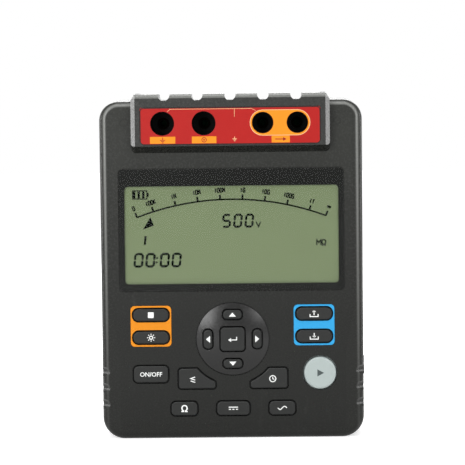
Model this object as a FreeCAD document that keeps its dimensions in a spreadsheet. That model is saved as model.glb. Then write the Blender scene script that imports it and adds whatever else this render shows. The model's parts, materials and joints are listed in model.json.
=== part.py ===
"""Insulation resistance tester, as a parametric document.

Frame: millimetres, +X to the right as the panel is read, +Y to the back, +Z up. The origin is
under the middle of the case, on the surface that the tester stands on.

Depths are "forward" distances, measured from the middle of the case towards the panel (-Y), so
the panel lies at panel_face and the back of the case at minus back_face.
"""

import FreeCAD, Part

import math
import os
import re

from FreeCAD import Rotation, Vector
import Sketcher

PARTS_FOLDER = "parts"
FLAT = 1e-4

SIZES = [
    # the two shells
    ("case_width", 155.4, "width of the case at the parting line"),
    ("case_height", 200.8, "height of the case without its terminal hood"),
    ("top_corner_radius", 11.5, "upper corners of the outline"),
    ("bottom_corner_radius", 13.0, "lower corners of the outline"),
    ("parting", 4.0, "forward place of the parting line"),
    ("panel_face", 38.0, "forward place of the panel"),
    ("panel_step", 0.4, "height of the panel above the shoulders round it"),
    ("panel_margin", 5.9, "from the outline to the panel's edge"),
    ("panel_waist", 5.6, "how far the panel's edge moves in beside the keys"),
    ("panel_drop", 8.8, "from the top of the case to the panel's upper edge"),
    ("panel_bottom", 8.6, "lower edge of the panel"),
    ("waist_high", 80.6, "where the panel starts to narrow"),
    ("waist_low", 50.6, "where the panel is narrow"),
    ("side_draft", 0.4, "how far each side leans in from the parting line to the panel"),
    ("top_draft", 1.2, "how far the top leans down from the parting line to the panel"),
    ("front_edge_radius", 4.0, "round of the panel side's edge"),
    ("back_face", 44.0, "distance from the middle to the back of the case"),
    ("back_edge_radius", 8.0, "round of the back's edge"),
    ("side_wall", 2.8, "wall of both shells"),
    ("front_wall", 3.2, "wall behind the panel"),
    ("back_wall", 3.2, "wall of the back"),
    # grip grooves in the lower edges
    ("groove_lowest", 20.9, "height of the lowest groove"),
    ("groove_pitch", 9.6, "from one groove to the next"),
    ("groove_count", 3.0, "grooves on each side"),
    ("groove_radius", 3.4, "section of a groove"),
    ("groove_depth", 1.6, "depth of a groove in the rounded edge"),
    ("groove_length", 30.0, "length of the cutter across the edge"),
    ("scallop_radius", 9.25, "shallow scallops in the sides, in line with the grooves"),
    ("scallop_depth", 0.5, "depth of those scallops"),
    # seal
    ("seal_width", 1.0, "width of the seal's cord"),
    ("seal_depth", 1.2, "depth of the seal's groove"),
    ("seal_inset", 0.9, "from the outline to the seal"),
    ("seal_clearance", 0.05, "between the seal and its groove"),
    # corner screws
    ("corner_screw_inset", 13.2, "corner screws, from the sides of the case"),
    ("corner_screw_low", 11.0, "lower corner screws"),
    ("corner_screw_drop", 13.3, "upper corner screws, from the top of the case"),
    ("boss_diameter", 7.4, "bosses in the front shell"),
    ("boss_clearance", 0.6, "between a boss and the board or mat that it passes, on the radius"),
    ("tower_diameter", 9.2, "screw towers in the back shell"),
    ("well_diameter", 6.2, "wells for the screw heads"),
    ("well_floor", 8.0, "thickness under a corner screw's head"),
    ("case_screw_diameter", 3.0, "corner screws"),
    ("case_screw_head", 5.6, "head of a corner screw"),
    ("case_screw_head_height", 2.2, "height of that head"),
    ("case_screw_grip", 16.0, "length of a corner screw in the front boss"),
    ("thread_clearance", 0.05, "between a screw and its hole, on the radius"),
    ("through_clearance", 0.25, "between a screw and a plain hole, on the radius"),
    # terminal hood
    ("hood_width", 116.8, "hood where it meets the panel"),
    ("hood_height", 34.4, "height of the hood where it meets the panel"),
    ("hood_rise", 2.8, "how far the hood stands above the case"),
    ("hood_front", 47.0, "forward place of the hood's front"),
    ("hood_side_slope", 0.4, "how far the hood's sides slope in"),
    ("hood_side_chamfer", 2.8, "chamfer between the hood's front and its sides"),
    ("hood_bottom_slope", 4.0, "how far the hood's lower side slopes in"),
    ("hood_back", 22.0, "where the hood ends on top of the case"),
    ("hood_shelf", 5.0, "thickness of the hood's shelf"),
    ("hood_top_round", 2.3, "round of the hood's upper front edge"),
    ("hood_wall", 2.6, "wall of the hood"),
    ("tab_height", 0.4, "raised ends of the hood"),
    ("tab_width", 5.4, "raised ends of the hood, with the sloped corners"),
    ("hood_corner_width", 2.8, "sloped upper corners of the hood"),
    ("hood_corner_height", 4.2, "sloped upper corners of the hood"),
    ("hood_low_corner", 3.0, "round of the hood's lower corners"),
    ("lead_notch_radius", 3.4, "round notches where the leads lie"),
    ("lead_notch_drop", 0.6, "from the hood's top to the centres of those notches"),
    ("lead_notch_pitch", 19.3, "from one notch to the next"),
    ("hood_fit", 0.15, "between the hood's shelf and the case"),
    ("plate_width", 105.3, "terminal plate"),
    ("plate_height", 21.7, "terminal plate"),
    ("plate_drop", 18.75, "from the hood's top to the middle of the terminal plate"),
    ("plate_thickness", 0.8, "terminal plate"),
    ("plate_recess", 1.0, "depth of the recess for that plate"),
    ("plate_corner", 3.0, "lower corners of the plate"),
    ("plate_upper_corner", 1.2, "upper corners of the plate"),
    ("plate_clearance", 0.15, "round the plate"),
    # sockets
    ("socket_earth_side", -39.6, "first socket"),
    ("socket_guard_side", -15.4, "second socket"),
    ("socket_sense_side", 19.0, "third socket"),
    ("socket_line_side", 39.2, "fourth socket"),
    ("socket_drop", 17.2, "from the hood's top to the middle of the sockets"),
    ("socket_outer", 16.0, "barrel of a socket"),
    ("socket_well", 13.4, "wells of the first two sockets"),
    ("socket_well_small", 11.9, "wells of the last two sockets"),
    ("socket_rim", 0.3, "rim of a barrel that shows in the terminal plate's opening"),
    ("socket_well_depth", 18.0, "depth of the well"),
    ("socket_base", 6.0, "thickness of the barrel's base"),
    ("socket_collar", 19.0, "collar behind the panel's wall"),
    ("socket_collar_length", 2.4, "length of that collar"),
    ("socket_clearance", 0.15, "between a barrel and its holes, on the radius"),
    ("contact_bore", 4.0, "bore of the contact sleeve"),
    ("contact_outer", 7.0, "outside of the contact sleeve"),
    ("hood_screw_diameter", 2.5, "hood screws"),
    ("hood_screw_head", 4.6, "head of a hood screw"),
    ("hood_screw_head_height", 1.6, "height of that head"),
    ("hood_screw_grip", 4.6, "length of a hood screw beyond the panel"),
    ("hood_boss_diameter", 5.2, "bosses in the hood"),
    ("hood_screw_side", 50.4, "outer hood screws, from the middle"),
    ("hood_screw_middle", 1.8, "middle hood screw"),
    ("hood_screw_drop", 25.5, "hood screws, from the hood's top"),
    # display
    ("plug_side", 62.4, "plug rings over the upper bosses, from the middle"),
    ("plug_drop", 13.75, "plug rings, from the top of the case"),
    ("plug_diameter", 5.2, "plug rings"),
    ("plug_groove", 0.7, "width of a plug ring"),
    ("plug_depth", 0.35, "depth of a plug ring"),
    ("lens_margin", 11.8, "from the sides of the case to the display lens"),
    ("lens_height", 71.5, "display lens"),
    ("lens_drop", 77.0, "from the top of the case to the middle of the lens"),
    ("lens_corner", 2.5, "corners of the lens"),
    ("lens_thickness", 1.6, "display lens"),
    ("lens_recess", 2.1, "depth of the recess for the lens"),
    ("lens_clearance", 0.65, "groove round the lens"),
    ("window_margin", 2.6, "from the sides of the lens to the window behind it"),
    ("window_height", 58.3, "window behind the lens"),
    ("window_drop", 3.15, "from the middle of the lens to the middle of the window"),
    ("window_corner", 2.5, "corners of the window"),
    ("glass_margin", 1.3, "display glass beyond the window"),
    ("glass_thickness", 2.0, "display glass"),
    ("backlight_thickness", 4.0, "light panel behind the glass"),
    ("frame_wall", 1.6, "display holder"),
    ("stack_clearance", 0.1, "between the layers of the display and of the keypad"),
    # keypad
    ("key_gap", 0.8, "groove round every key"),
    ("key_lip", 1.5, "how far a key's flange is wider than the key"),
    ("key_flange", 1.0, "thickness of that flange"),
    ("key_travel", 1.2, "how far a key goes in"),
    ("key_proud", 1.1, "how far a key stands out of the panel"),
    ("key_edge", 0.8, "round of a key's face"),
    ("key_stub", 4.4, "stub that presses the dome"),
    ("mat_thickness", 0.8, "sealing mat over the key board"),
    ("mat_margin", 5.5, "sealing mat, from the sides of the key board"),
    ("mat_hole", 6.4, "hole in the mat over each dome"),
    ("dome_diameter", 4.8, "snap domes"),
    ("dome_height", 0.4, "snap domes"),
    ("board_thickness", 1.6, "all circuit boards"),
    ("board_corner", 0.5, "corners of the boards behind the display"),
    ("key_board_margin", 9.7, "from the sides of the case to the key board"),
    ("key_board_bottom", 8.0, "lower edge of the key board"),
    ("key_board_top", 84.0, "upper edge of the key board"),
    ("key_board_corner", 6.0, "corners of the key board"),
    ("key_board_screw_margin", 3.2, "key board's screws, from its sides"),
    ("key_board_screw_low", 22.0, "screws of the key board"),
    ("key_board_screw_high", 79.5, "screws of the key board"),
    ("side_column", 48.1, "framed keys, from the middle"),
    ("framed_upper", 73.75, "upper framed keys"),
    ("framed_lower", 60.4, "lower framed keys"),
    ("framed_width", 21.0, "framed keys"),
    ("framed_height", 7.2, "framed keys"),
    ("framed_corner", 3.2, "framed keys"),
    ("key_frame_width", 24.0, "coloured frames"),
    ("key_frame_height", 24.1, "coloured frames"),
    ("key_frame_middle", 67.05, "middle of the coloured frames"),
    ("key_frame_corner", 2.4, "coloured frames"),
    ("key_frame_thickness", 1.0, "coloured frames"),
    ("key_frame_recess", 0.6, "depth of the recess for a frame"),
    ("key_frame_clearance", 0.1, "round a frame"),
    ("power_side", -48.4, "power key"),
    ("power_height", 38.65, "power key"),
    ("power_key_width", 20.4, "power key"),
    ("power_key_height", 9.8, "power key"),
    ("key_corner", 2.5, "corners of the power key and the bottom row"),
    ("mode_height", 18.05, "bottom row of keys"),
    ("mode_side", 28.9, "outer keys of the bottom row, from the middle"),
    ("mode_width", 15.4, "outer keys of the bottom row"),
    ("mode_middle_width", 19.4, "middle key of the bottom row"),
    ("mode_key_height", 8.1, "bottom row of keys"),
    ("start_side", 51.35, "round start key"),
    ("start_height", 38.7, "round start key"),
    ("start_diameter", 18.9, "round start key"),
    ("start_edge", 1.2, "round of the start key's face"),
    ("start_proud", 1.9, "how far the start key stands out of the panel"),
    ("wedge_outer", 32.1, "outer side of a wedge key, from the middle"),
    ("wedge_inner", 10.3, "inner tip of a wedge key, from the middle"),
    ("wedge_bottom", 29.9, "lower edge of a wedge key"),
    ("wedge_top", 41.8, "upper edge of a wedge key"),
    ("wedge_round", 27.2, "round of its slope about the cursor disc's centre"),
    ("wedge_corner", 1.6, "corners of a wedge key"),
    # cursor disc
    ("disc_height", 59.2, "centre of the cursor disc"),
    ("disc_diameter", 42.5, "cursor disc"),
    ("disc_rise", 2.3, "how far the disc's middle stands above its rim"),
    ("disc_recess", 1.5, "depth of the disc's recess"),
    ("disc_groove", 0.6, "groove round the disc"),
    ("centre_key_width", 14.2, "centre key"),
    ("centre_key_height", 13.9, "centre key"),
    ("centre_key_corner", 2.0, "centre key"),
    ("centre_key_proud", 3.2, "how far the centre key stands above the panel"),
    ("arrow_reach", 14.5, "arrow keys, from the disc's centre"),
    ("arrow_long", 11.2, "length of an arrow key"),
    ("arrow_short", 5.3, "height of an arrow key"),
    ("arrow_corner", 2.3, "corners of an arrow key"),
    ("arrow_proud", 2.2, "how far the arrow keys stand above the panel"),
    # boards
    ("main_board_margin", 6.2, "from the sides of the case to the main board"),
    ("main_board_below", 37.5, "main board below the middle of the lens"),
    ("main_board_above", 38.0, "main board above the middle of the lens"),
    ("main_board_screw_margin", 2.3, "main board's screws, from its sides"),
    ("main_board_screw_inset", 3.5, "main board's screws, from its ends"),
    ("high_board_width", 112.0, "high-voltage board"),
    ("high_board_below", 54.0, "high-voltage board below the sockets"),
    ("high_board_above", 9.0, "high-voltage board above the sockets"),
    ("high_board_face", 12.0, "forward place of the high-voltage board"),
    ("high_board_screw_margin", 3.6, "high-voltage board's screws, from its sides"),
    ("high_board_screw_below", 18.0, "high-voltage board's lower screws, below the sockets"),
    ("high_board_screw_above", 6.0, "high-voltage board's upper screws, above the sockets"),
    ("post_diameter", 4.4, "posts for the boards"),
    ("board_screw_diameter", 2.4, "board screws"),
    ("board_screw_head", 4.4, "head of a board screw"),
    ("board_screw_head_height", 1.4, "height of that head"),
    ("board_screw_grip", 2.6, "length of a board screw in its post"),
    ("chip_height", 1.6, "chips"),
    ("chip_side", 14.0, "large chip"),
    ("chip_pitch", 30.0, "from one chip to the next"),
    ("chip_count", 3.0, "large chips on the main board"),
    ("transformer_width", 30.0, "high-voltage transformer"),
    ("transformer_height", 26.0, "high-voltage transformer"),
    ("transformer_depth", 22.0, "high-voltage transformer"),
    ("transformer_limb", 5.0, "outer limbs of its core"),
    ("transformer_drop", 14.0, "from the sockets down to the middle of the transformer"),
    ("winding_depth", 2.5, "winding outside the core, before and behind"),
    ("winding_clearance", 0.2, "between the winding and the core"),
    ("capacitor_diameter", 13.0, "high-voltage capacitors"),
    ("capacitor_length", 24.0, "high-voltage capacitors"),
    ("capacitor_pitch", 17.0, "from one capacitor to the next"),
    ("capacitor_first", -44.0, "first capacitor"),
    ("capacitor_count", 2.0, "high-voltage capacitors"),
    ("relay_width", 10.0, "reed relays"),
    ("relay_height", 20.0, "reed relays"),
    ("relay_depth", 11.0, "reed relays"),
    ("relay_pitch", 11.5, "from one relay to the next"),
    ("relay_first", 21.0, "first relay"),
    ("relay_count", 3.0, "reed relays"),
    ("buzzer_diameter", 14.0, "buzzer"),
    ("buzzer_height", 5.0, "buzzer"),
    ("buzzer_side", 28.0, "buzzer"),
    # batteries
    ("cell_diameter", 26.2, "round cells"),
    ("cell_length", 48.5, "round cells without the tip"),
    ("cell_tip_diameter", 6.6, "tip of a cell"),
    ("cell_tip_length", 1.5, "tip of a cell"),
    ("cell_gap", 0.4, "round every cell"),
    ("cell_columns", 4.0, "cells side by side"),
    ("cell_rows", 2.0, "cells end to end"),
    ("bay_bottom", 20.5, "lower end of the battery bay"),
    ("bay_wall", 2.2, "walls of the battery bay"),
    ("bay_floor", 12.0, "battery bay's floor, behind the middle"),
    ("spring_diameter", 10.0, "battery springs"),
    ("spring_length", 4.0, "battery springs"),
    ("contact_plate", 1.0, "thickness of the battery plates"),
    ("contact_plate_width", 18.0, "battery plates"),
    ("cover_margin", 19.7, "from the sides of the case to the battery cover"),
    ("cover_lip", 6.6, "battery cover beyond the bay, above and below"),
    ("cover_thickness", 3.0, "battery cover"),
    ("cover_corner", 4.0, "battery cover"),
    ("cover_clearance", 0.3, "round the battery cover"),
    ("cover_seat", 4.0, "thickness of the rim that carries the cover"),
    ("cover_screw_side", 38.0, "battery cover screws"),
    ("cover_screw_inset", 3.3, "battery cover screws, from the cover's edge"),
    ("cover_screw_diameter", 2.4, "battery cover screws"),
    ("cover_screw_head", 4.6, "battery cover screws"),
    ("cover_screw_head_height", 1.4, "battery cover screws"),
    ("cover_screw_grip", 3.0, "length of a cover screw in the rim"),
    ("cover_rib_width", 3.0, "finger ribs on the battery cover"),
    ("cover_rib_height", 0.9, "finger ribs on the battery cover"),
    ("cover_rib_length", 50.0, "finger ribs on the battery cover"),
    ("cover_rib_pitch", 6.0, "finger ribs on the battery cover"),
    ("cover_rib_count", 5.0, "finger ribs on the battery cover"),
    # tilt stand
    ("stand_margin", 10.3, "from the sides of the case to the tilt stand"),
    ("stand_bottom", 5.4, "lower edge of the tilt stand"),
    ("stand_leg", 5.8, "legs of the tilt stand"),
    ("stand_bar", 6.6, "cross bar of the tilt stand"),
    ("stand_thickness", 4.0, "tilt stand"),
    ("stand_corner", 5.0, "lower corners of the tilt stand"),
    ("stand_pivot", 139.0, "height of the stand's pivot"),
    ("stand_pivot_back", 43.8, "distance of the pivot from the middle"),
    ("stand_eye", 3.0, "round upper end of a leg"),
    ("stand_pin", 1.5, "pivot pin"),
    ("stand_pin_length", 3.6, "pivot pin"),
    ("stand_recess", 1.6, "depth of the stand's groove in the back"),
    ("stand_clearance", 0.4, "round the tilt stand"),
    ("pin_clearance", 0.08, "between a pivot pin and its hole, on the radius"),
    ("lug_width", 5.0, "lug that holds a pivot pin"),
    ("lug_height", 7.6, "lug that holds a pivot pin"),
    ("lug_back", 46.9, "distance of the lug's face from the middle"),
    ("pad_width", 16.0, "rubber pads on the back"),
    ("pad_height", 8.0, "rubber pads on the back"),
    ("pad_corner", 2.0, "rubber pads on the back"),
    ("pad_recess", 0.8, "depth of the recess for a pad"),
    ("pad_side", 50.0, "rubber pads on the back, from the middle"),
    ("pad_drop", 18.8, "from the top of the case to the pads"),
    ("pad_face", 47.0, "distance of the pads' face from the middle"),
    ("stand_pad_width", 14.0, "rubber pads on the stand"),
    ("stand_pad_height", 4.0, "rubber pads on the stand"),
    # side ports
    ("flap_middle", 14.0, "port flap, behind the middle"),
    ("flap_width", 24.0, "port flap"),
    ("flap_height", 14.1, "port flap"),
    ("flap_level", 38.3, "middle of the port flap"),
    ("flap_thickness", 2.0, "port flap"),
    ("flap_proud", 0.65, "how far the flap stands out of the side"),
    ("flap_lip_width", 4.2, "finger lip at the flap's front edge"),
    ("flap_lip_height", 1.1, "finger lip at the flap's front edge"),
    ("flap_clearance", 0.3, "round the port flap"),
    ("flap_corner", 1.6, "corners of the port flap"),
    ("flap_pin", 0.55, "pivot pin of the flap"),
    ("flap_pin_length", 1.2, "pivot pin of the flap"),
    ("port_clearance", 0.15, "round the ports"),
    ("jack_side", 8.5, "power jack, behind the middle"),
    ("jack_size", 9.0, "body of the power jack"),
    ("jack_bore", 5.6, "bore of the power jack"),
    ("jack_pin", 2.0, "pin of the power jack"),
    ("jack_depth", 9.0, "depth of the bore"),
    ("usb_side", 18.6, "data port, behind the middle"),
    ("usb_width", 7.8, "data port"),
    ("usb_height", 4.0, "data port"),
    ("usb_shell", 0.4, "wall of the data port"),
    ("port_length", 11.0, "length of both ports"),
    ("port_board_height", 22.0, "port board"),
    ("port_board_width", 26.0, "port board"),
    ("port_post", 5.0, "posts of the port board"),
]

PLACES = {
    "panel_top": "(case_height - panel_drop)",
    "corner_screw_side": "(case_width / 2 - corner_screw_inset)",
    "corner_screw_high": "(case_height - corner_screw_drop)",
    "hood_top": "(case_height + hood_rise)",
    "hood_bottom": "(hood_top - hood_height)",
    "hood_shelf_bottom": "(hood_top - hood_shelf)",
    "lead_notch_height": "(hood_top - lead_notch_drop)",
    "plate_middle": "(hood_top - plate_drop)",
    "socket_height": "(hood_top - socket_drop)",
    "hood_screw_height": "(hood_top - hood_screw_drop)",
    "plug_height": "(case_height - plug_drop)",
    "lens_width": "(case_width - 2 * lens_margin)",
    "lens_middle": "(case_height - lens_drop)",
    "window_width": "(lens_width - 2 * window_margin)",
    "window_middle": "(lens_middle - window_drop)",
    "main_board_width": "(case_width - 2 * main_board_margin)",
    "main_board_bottom": "(lens_middle - main_board_below)",
    "main_board_top": "(lens_middle + main_board_above)",
    "main_board_screw_side": "(main_board_width / 2 - main_board_screw_margin)",
    "main_board_screw_low": "(main_board_bottom + main_board_screw_inset)",
    "main_board_screw_high": "(main_board_top - main_board_screw_inset)",
    "high_board_bottom": "(socket_height - high_board_below)",
    "high_board_top": "(socket_height + high_board_above)",
    "high_board_screw_side": "(high_board_width / 2 - high_board_screw_margin)",
    "high_board_screw_low": "(socket_height - high_board_screw_below)",
    "high_board_screw_high": "(socket_height + high_board_screw_above)",
    "transformer_middle": "(socket_height - transformer_drop)",
    "key_board_width": "(case_width - 2 * key_board_margin)",
    "key_board_screw_side": "(key_board_width / 2 - key_board_screw_margin)",
    "mat_width": "(key_board_width - 2 * mat_margin)",
    "cover_width": "(case_width - 2 * cover_margin)",
    "stand_width": "(case_width - 2 * stand_margin)",
    "pad_level": "(case_height - pad_drop)",
}

document = FreeCAD.newDocument("insulation_tester")
sheet = document.addObject("Spreadsheet::Sheet", "Sizes")
for row, (alias, number, meaning) in enumerate(SIZES, start=1):
    sheet.set(f"A{row}", alias)
    sheet.set(f"B{row}", str(number))
    sheet.set(f"C{row}", meaning)
    sheet.setAlias(f"B{row}", alias)
document.recompute()

ALIASES = {alias for alias, number, meaning in SIZES}
SUB_PARTS = []


# ---------------------------------------------------------------- formulas and document objects


def formula(text):
    """The text with every place worked out and every size written as a cell of the sheet."""

    def cell(match):
        word = match[0]
        if word in PLACES:
            return formula(PLACES[word])
        return f"Sizes.{word}" if word in ALIASES else word

    return re.sub(r"[a-z_]+", cell, text)


def value(text):
    """What a formula comes to, in millimetres."""
    return float(sheet.evalExpression(formula(text)))


def bind(item, formulas):
    """Bind properties of a document object to formulas."""
    for path, text in formulas.items():
        item.setExpression(path, formula(text))


def new_body(label, right="0", back="0", up="0", listed=True):
    """An empty body, placed by three formulas; a listed one is a sub-part."""
    body = document.addObject("PartDesign::Body", label)
    body.Label = label
    bind(body, {"Placement.Base.x": right, "Placement.Base.y": back, "Placement.Base.z": up})
    if listed:
        SUB_PARTS.append(body)
    return body


def origin_feature(body, role):
    """One of the body's own origin planes or axes."""
    return next(f for f in body.Origin.OriginFeatures if f.Role == role)


def sketch(body, draw, plane="XZ_Plane", right="0", up="0", out="0"):
    """A sketch on an origin plane, moved along the plane and out of it by formulas.

    Out of the XZ plane is forward, out of the YZ plane is to the right.
    """
    item = body.newObject("Sketcher::SketchObject", "Sketch")
    item.AttachmentSupport = [(origin_feature(body, plane), "")]
    item.MapMode = "FlatFace"
    offset = "AttachmentOffset.Base."
    bind(item, {offset + "x": right, offset + "y": up, offset + "z": out})
    draw(item)
    return item


# ---------------------------------------------------------------- outlines for sketches


def constrain(item, kind, name, text, *where):
    """A named dimension that follows a formula."""
    dimension = Sketcher.Constraint(kind, *where, value(text))
    dimension.Name = name
    item.addConstraint(dimension)
    bind(item, {f"Constraints.{name}": text})


def rectangle(width, height, upper="", lower="", centre=("0", "0")):
    """A rectangle about a centre; with radii, its corners are round."""

    def draw(item):
        across, tall = value(width) / 2, value(height) / 2
        x, y = (value(place) for place in centre)
        left, right, bottom, top = x - across, x + across, y - tall, y + tall
        first = item.GeometryCount
        if not upper:
            corners = [(left, bottom), (right, bottom), (right, top), (left, top)]
            for start, end in zip(corners, corners[1:] + corners[:1]):
                item.addGeometry(Part.LineSegment(Vector(*start, 0), Vector(*end, 0)))
            for side in range(4):
                after = first + (side + 1) % 4
                item.addConstraint(Sketcher.Constraint("Coincident", first + side, 2, after, 1))
        else:
            high, low = value(upper), value(lower or upper)
            arcs = [
                (right - low, bottom + low, low, 270),
                (right - high, top - high, high, 0),
                (left + high, top - high, high, 90),
                (left + low, bottom + low, low, 180),
            ]
            ends = []
            for arc_x, arc_y, radius, start in arcs:
                circle = Part.Circle(Vector(arc_x, arc_y, 0), Vector(0, 0, 1), radius)
                arc = Part.ArcOfCircle(circle, math.radians(start), math.radians(start + 90))
                ends.append((arc.StartPoint, arc.EndPoint, arc))
            for side in range(4):
                item.addGeometry(Part.LineSegment(ends[side - 1][1], ends[side][0]))
            for start, end, arc in ends:
                item.addGeometry(arc)
            for side in range(4):
                line, arc = first + side, first + 4 + side
                after = first + (side + 1) % 4
                item.addConstraint(Sketcher.Constraint("Tangent", line, 2, arc, 1))
                item.addConstraint(Sketcher.Constraint("Tangent", arc, 2, after, 1))
            item.addConstraint(Sketcher.Constraint("Equal", first + 5, first + 6))
            item.addConstraint(Sketcher.Constraint("Equal", first + 4, first + 7))
            constrain(item, "Radius", f"upper_{first}", upper, first + 5)
            constrain(item, "Radius", f"lower_{first}", lower or upper, first + 4)
        for side in (0, 2):
            item.addConstraint(Sketcher.Constraint("Horizontal", first + side))
        for side in (1, 3):
            item.addConstraint(Sketcher.Constraint("Vertical", first + side))
        middle_x, middle_y = centre
        constrain(item, "DistanceX", f"left_{first}", f"{middle_x} - ({width}) / 2", first + 3, 1)
        constrain(item, "DistanceX", f"right_{first}", f"{middle_x} + ({width}) / 2", first + 1, 1)
        constrain(item, "DistanceY", f"bottom_{first}", f"{middle_y} - ({height}) / 2", first, 1)
        constrain(item, "DistanceY", f"top_{first}", f"{middle_y} + ({height}) / 2", first + 2, 1)

    return draw


def discs(diameter, centres=(("0", "0"),)):
    """Circles of one diameter about the given centres."""

    def draw(item):
        for x, y in centres:
            circle = Part.Circle(Vector(value(x), value(y), 0), Vector(0, 0, 1), value(diameter) / 2)
            index = item.addGeometry(circle)
            constrain(item, "Diameter", f"across_{index}", diameter, index)
            constrain(item, "DistanceX", f"right_{index}", x, index, 3)
            constrain(item, "DistanceY", f"up_{index}", y, index, 3)

    return draw


def polygon(corners):
    """A closed outline through the given corners."""

    def draw(item):
        points = [Vector(value(x), value(y), 0) for x, y in corners]
        first = item.GeometryCount
        for start, end in zip(points, points[1:] + points[:1]):
            item.addGeometry(Part.LineSegment(start, end))
        for index, (x, y) in enumerate(corners):
            after = first + (index + 1) % len(corners)
            item.addConstraint(Sketcher.Constraint("Coincident", first + index, 2, after, 1))
            constrain(item, "DistanceX", f"right_{first + index}", x, first + index, 1)
            constrain(item, "DistanceY", f"up_{first + index}", y, first + index, 1)

    return draw


# ---------------------------------------------------------------- features


def pad(body, profile, length, backward=False, both=False):
    """Add the profile, out of its plane unless it is told to go backward or both ways."""
    feature = body.newObject("PartDesign::Pad", "Pad")
    feature.Profile = profile
    feature.Reversed = backward
    feature.Midplane = both
    bind(feature, {"Length": length})
    return feature


def pocket(body, profile, length, outward=False, both=False):
    """Cut the profile, into its plane unless it is told to go outward or both ways."""
    feature = body.newObject("PartDesign::Pocket", "Pocket")
    feature.Profile = profile
    feature.Reversed = outward
    feature.Midplane = both
    bind(feature, {"Length": length})
    return feature


def loft(body, first, second, cut=False):
    """A straight-sided loft between two sketches, added or cut."""
    kind = "PartDesign::SubtractiveLoft" if cut else "PartDesign::AdditiveLoft"
    feature = body.newObject(kind, "Loft")
    feature.Profile = first
    feature.Sections = [second]
    feature.Ruled = True
    return feature


def edges_where(shape, test):
    """Names of the edges whose bounding box passes the test."""
    return [f"Edge{i}" for i, edge in enumerate(shape.Edges, start=1) if test(edge.BoundBox)]


def fillet(body, radius, test):
    """Round the edges of the body's last feature that pass the test."""
    document.recompute()
    base = body.Tip
    names = edges_where(base.Shape, test)
    if not names:
        raise RuntimeError(f"{body.Label}: no edge to round")
    feature = body.newObject("PartDesign::Fillet", "Fillet")
    feature.Base = (base, names)
    bind(feature, {"Radius": radius})
    return feature


def at_forward(place):
    """A test for edges that lie in the plane at a forward place."""
    level = -value(place)
    return lambda box: abs(box.YMin - level) < FLAT and abs(box.YMax - level) < FLAT


def along_depth(box):
    """Whether an edge runs along Y only."""
    return box.XLength < FLAT and box.ZLength < FLAT and box.YLength > FLAT


def repeat(body, features, axis, pitch, count):
    """Copy features along one of the body's origin axes."""
    feature = body.newObject("PartDesign::LinearPattern", "Pattern")
    feature.Originals = features
    feature.Direction = (origin_feature(body, axis), [""])
    feature.Mode = "Spacing"
    bind(feature, {"Offset": pitch, "Occurrences": count})
    body.Tip = feature
    return feature


def compound(label, members):
    """One sub-part made of several equal solids."""
    item = document.addObject("Part::Compound", label)
    item.Label = label
    item.Links = members
    SUB_PARTS.append(item)
    return item


def plate(label, draw, front, thickness, **place):
    """A flat piece whose front face is at a forward place."""
    body = new_body(label)
    pad(body, sketch(body, draw, out=front, **place), thickness, backward=True)
    return body


# ---------------------------------------------------------------- places that several pieces share

SHOULDER = "(panel_face - panel_step)"
INNER_FACE = "(panel_face - front_wall)"
FLANGE_FRONT = f"({INNER_FACE} - stack_clearance)"
MAT_FRONT = f"({FLANGE_FRONT} - key_flange - key_travel - stack_clearance)"
KEY_BOARD_FACE = f"({MAT_FRONT} - mat_thickness)"
STUB_END = f"({KEY_BOARD_FACE} + dome_height + key_travel + stack_clearance)"
GLASS_FRONT = f"({INNER_FACE} - stack_clearance)"
BACKLIGHT_FRONT = f"({GLASS_FRONT} - glass_thickness - stack_clearance)"
HOLDER_FLOOR = f"({BACKLIGHT_FRONT} - backlight_thickness - stack_clearance)"
MAIN_BOARD_FACE = f"({HOLDER_FLOOR} - frame_wall)"
HIGH_BOARD_BACK = "(high_board_face - board_thickness)"
PLATE_BACK = "(hood_front - plate_recess)"
WELL_END = f"({PLATE_BACK} - socket_well_depth)"
BAY_WIDTH = "(cell_columns * cell_diameter + (cell_columns + 1) * cell_gap)"
CELL_STACK = "(cell_rows * (cell_length + cell_tip_length))"
BAY_HEIGHT = f"({CELL_STACK} + spring_length + contact_plate + 3 * stack_clearance)"
BAY_MIDDLE = f"(bay_bottom + {BAY_HEIGHT} / 2)"
COVER_HEIGHT = f"({BAY_HEIGHT} + 2 * cover_lip)"
COVER_SCREW_REACH = f"({COVER_HEIGHT} / 2 - cover_screw_inset)"
COVER_INNER = "(back_face - cover_thickness)"
LEG_INSIDE = "(stand_width / 2 - stand_leg)"
LUG_OUTSIDE = f"({LEG_INSIDE} - stand_clearance)"
STAND_FRONT = "(back_face - stand_recess + stack_clearance)"
FLAP_OUTSIDE = "(case_width / 2 + flap_proud)"
FLAP_RECESS = "(flap_thickness - flap_proud + stack_clearance)"
FLAP_AXIS_SIDE = f"({FLAP_OUTSIDE} - flap_thickness / 2)"
FLAP_AXIS_BACK = "(flap_middle + flap_width / 2 - flap_thickness / 2)"
PORT_MOUTH = f"(case_width / 2 - {FLAP_RECESS} - stack_clearance)"
PORT_BOARD_FACE = f"({PORT_MOUTH} - port_length)"
BAY_SIDE = f"({BAY_WIDTH} / 2 + bay_wall)"

SOCKETS = {
    "socket_earth": ("socket_earth_side", "socket_well"),
    "socket_guard": ("socket_guard_side", "socket_well"),
    "socket_sense": ("socket_sense_side", "socket_well_small"),
    "socket_line": ("socket_line_side", "socket_well_small"),
}
SOCKET_CENTRES = [(side, "socket_height") for side, well in SOCKETS.values()]


def both_sides(side, *levels):
    """Centres at the given levels, left and right."""
    return [(f"{hand} * {side}", level) for level in levels for hand in (-1, 1)]


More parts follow.
